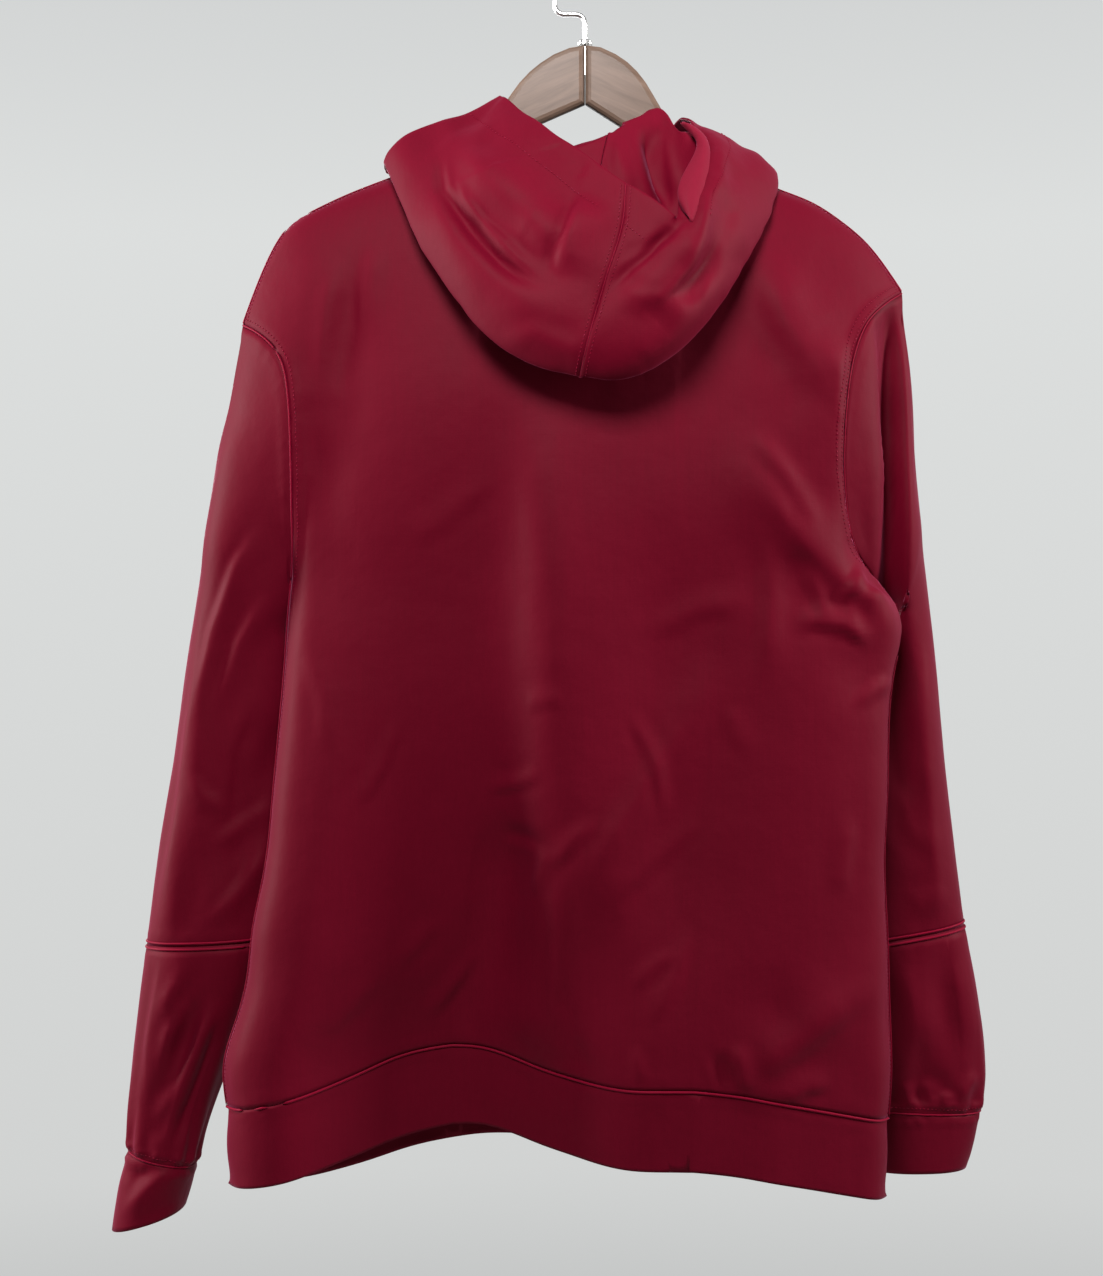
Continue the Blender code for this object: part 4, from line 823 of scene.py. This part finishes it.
# ------------------------------------------------------------------ sewn rows
# Most seams show outside as a fine raised ridge in the same crimson thread, some with topstitching beside it;
# the back of the right armhole has two rows. The casing round the hood's opening is topstitched.
thread = knit("sewing_thread", tuple(c * 1.7 for c in crimson), 0.0, 0.5)
stitch_pitch = 0.003
ridge_lift = 0.0005
faces_of = {node: finished_face(node) for node in cut_pieces}


def seam_runs(node, others):
    """Chains of points along the edge of a piece where it meets the others; with no others its free edge."""
    touch_gap = 0.0014
    points, faces, edges, normal = finished[node]
    onward = dict(edges)
    touching = {}
    for i in onward:
        touching[i] = {o for o in cut_pieces if o != node
                       and walls[o].find_nearest(Vector(points[i]), touch_gap)[0] is not None}
    wanted = {i for i in onward if (touching[i] & set(others) if others else not touching[i])}
    arriving = {b: a for a, b in edges}
    runs = []
    left = set(wanted)
    starts = [i for i in wanted if arriving.get(i) not in wanted]
    while left:
        at = starts.pop() if starts else min(left)
        run = []
        while at in left:
            left.discard(at)
            run.append(at)
            at = onward[at]
        if len(run) > 3:
            runs.append(run)
    return runs


def offset_line(node, run, inset):
    """Evenly spaced places on the cloth at a distance inwards from its edge: point and face normal."""
    longest_stride = 0.006
    search_radius = 0.02
    points, faces, edges, normal = finished[node]
    line = points[run]
    spans = np.linalg.norm(np.diff(line, axis=0), axis=1)
    travel = np.concatenate(([0], np.cumsum(spans)))
    count = max(2, int(travel[-1] / stitch_pitch))
    stations = np.linspace(0, travel[-1], count)
    even = np.column_stack([np.interp(stations, travel, line[:, k]) for k in range(3)])
    even_normal = np.column_stack([np.interp(stations, travel, normal[run][:, k]) for k in range(3)])
    heading = np.gradient(even, axis=0)
    for _ in range(2):
        heading[1:-1] = (heading[:-2] + heading[1:-1] * 2 + heading[2:]) / 4
    strides = max(1, math.ceil(abs(inset) / longest_stride))
    places = []
    for p, n, t in zip(even, even_normal, heading):
        p, n, t = Vector(p), Vector(n).normalized(), Vector(t).normalized()
        for _ in range(strides):
            p = p + n.cross(t).normalized() * (inset / strides)
            p, n = faces_of[node].find_nearest(p, search_radius)[:2]
            if p is None:
                break
        else:
            places.append((p, n))
    return places


def sewn_ridge(sheet, places, radius, lift):
    """A flattened round cord along the cloth, six sides round and thin at both ends."""
    sides = 6
    flatness = 0.75
    end_size = 0.25
    rings = []
    for k, (p, n) in enumerate(places):
        before, after = places[max(k - 1, 0)][0], places[min(k + 1, len(places) - 1)][0]
        along = after - before
        if along.length < 1e-7:
            continue
        side = n.cross(along.normalized())
        size = radius * (end_size if k in (0, len(places) - 1) else 1.0)
        ring = []
        for a in (2 * math.pi * m / sides for m in range(sides)):
            outwards = n * (lift + flatness * size * math.sin(a))
            ring.append(sheet.verts.new(p + outwards + side * size * math.cos(a)))
        rings.append(ring)
    for one, two in zip(rings, rings[1:]):
        for k in range(sides):
            m = (k + 1) % sides
            sheet.faces.new((one[k], one[m], two[m], two[k]))
    if rings:
        sheet.faces.new(rings[0][::-1])
        sheet.faces.new(rings[-1])


def stitches(sheet, places):
    """Short raised stitches, one from each place most of the way to the next."""
    share = 0.7
    radius = 0.00042
    clearance = 0.00005
    shortest, longest = 0.0008, 0.006
    for (p, n), (q, _) in zip(places, places[1:]):
        along = q - p
        if not shortest < along.length < longest:
            continue
        side = n.cross(along.normalized()) * radius
        up = n * radius
        a = p + along * (0.5 - share / 2) + n * clearance
        b = p + along * (0.5 + share / 2) + n * clearance
        middle = (a + b) / 2 + up * 0.5
        ends = sheet.verts.new(a), sheet.verts.new(b)
        belt = [sheet.verts.new(middle + way) for way in (side, up, -side, -up)]
        for k in range(4):
            m = (k + 1) % 4
            sheet.faces.new((ends[0], belt[m], belt[k]))
            sheet.faces.new((ends[1], belt[k], belt[m]))


def thread_piece(name, sheet):
    """Hand one joined mesh of ridges and stitches to the frame as a piece of thread."""
    bmesh.ops.recalc_face_normals(sheet, faces=sheet.faces[:])
    mesh = bpy.data.meshes.new(name)
    sheet.to_mesh(mesh)
    sheet.free()
    mesh.shade_smooth()
    mesh.materials.append(thread)
    piece = bpy.data.objects.new(name, mesh)
    bpy.context.scene.collection.objects.link(piece)
    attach(piece, "root")


# Each row gives the piece it lies on, the pieces that meet it there (none for the free edge), its distance
# from that edge and the radius of its ridge, or None for a row of stitches.
sewn_rows = (
    ("waistband_seam", (("waistband", ("back", "front"), 0.0, 0.0010),)),
    ("forearm_left_seam", (("sleeve_left_upper", ("sleeve_left_lower",), 0.0022, 0.0009),
                           ("sleeve_left_lower", ("sleeve_left_upper",), 0.0022, 0.0009))),
    ("forearm_right_seam", (("sleeve_right_upper", ("sleeve_right_lower",), 0.0022, 0.0009),
                            ("sleeve_right_lower", ("sleeve_right_upper",), 0.0022, 0.0009))),
    ("cuff_left_seam", (("cuff_left", ("sleeve_left_lower",), 0.0, 0.0007),
                        ("sleeve_left_lower", ("cuff_left",), 0.0045, None))),
    ("cuff_right_seam", (("cuff_right", ("sleeve_right_lower",), 0.0, 0.0007),
                         ("sleeve_right_lower", ("cuff_right",), 0.0045, None))),
    ("armhole_left_seam", (("sleeve_left_upper", ("back", "front"), 0.0, 0.0007),
                           ("back", ("sleeve_left_upper",), 0.005, None),
                           ("front", ("sleeve_left_upper",), 0.005, None))),
    ("armhole_right_seam", (("sleeve_right_upper", ("back", "front"), 0.0, 0.0005),
                            ("back", ("sleeve_right_upper",), 0.0025, None),
                            ("back", ("sleeve_right_upper",), 0.0075, None),
                            ("front", ("sleeve_right_upper",), 0.004, None))),
    ("shoulder_and_side_seams", (("back", ("front",), 0.0, 0.0007), ("back", ("front",), 0.005, None))),
    ("hood_crown_seam", (("hood_left", ("hood_right",), 0.0, 0.0003),
                         ("hood_left", ("hood_right",), 0.0035, None),
                         ("hood_right", ("hood_left",), 0.0035, None))),
    ("hood_casing_rows", (("hood_left", (), 0.027, None), ("hood_right", (), 0.027, None))),
)
for row_name, rows in sewn_rows:
    sheet = bmesh.new()
    for node, others, inset, ridge in rows:
        for run in seam_runs(node, others):
            places = offset_line(node, run, inset)
            if ridge is None:
                stitches(sheet, places)
            else:
                sewn_ridge(sheet, places, ridge, ridge_lift)
    thread_piece(row_name, sheet)

# The join of the waistband's ends runs straight down its front face, a low ridge between two stitched rows.
join_place = 0.1835
join_row_gap = 0.004
join_ridge, join_lift = 0.0008, 0.0003
join_top = -0.862
join_places = 19
far_in_front = -0.3
join_sheet = bmesh.new()
for off_join in (0, -join_row_gap, join_row_gap):
    places = []
    for k in range(join_places):
        start = Vector((join_place + off_join, far_in_front, join_top - stitch_pitch * k))
        spot, facing = faces_of["waistband"].ray_cast(start, Vector((0, 1, 0)))[:2]
        if spot and facing.y < -0.2:
            places.append((spot, facing))
    if off_join:
        stitches(join_sheet, places)
    else:
        sewn_ridge(join_sheet, places, join_ridge, join_lift)
thread_piece("waistband_join", join_sheet)
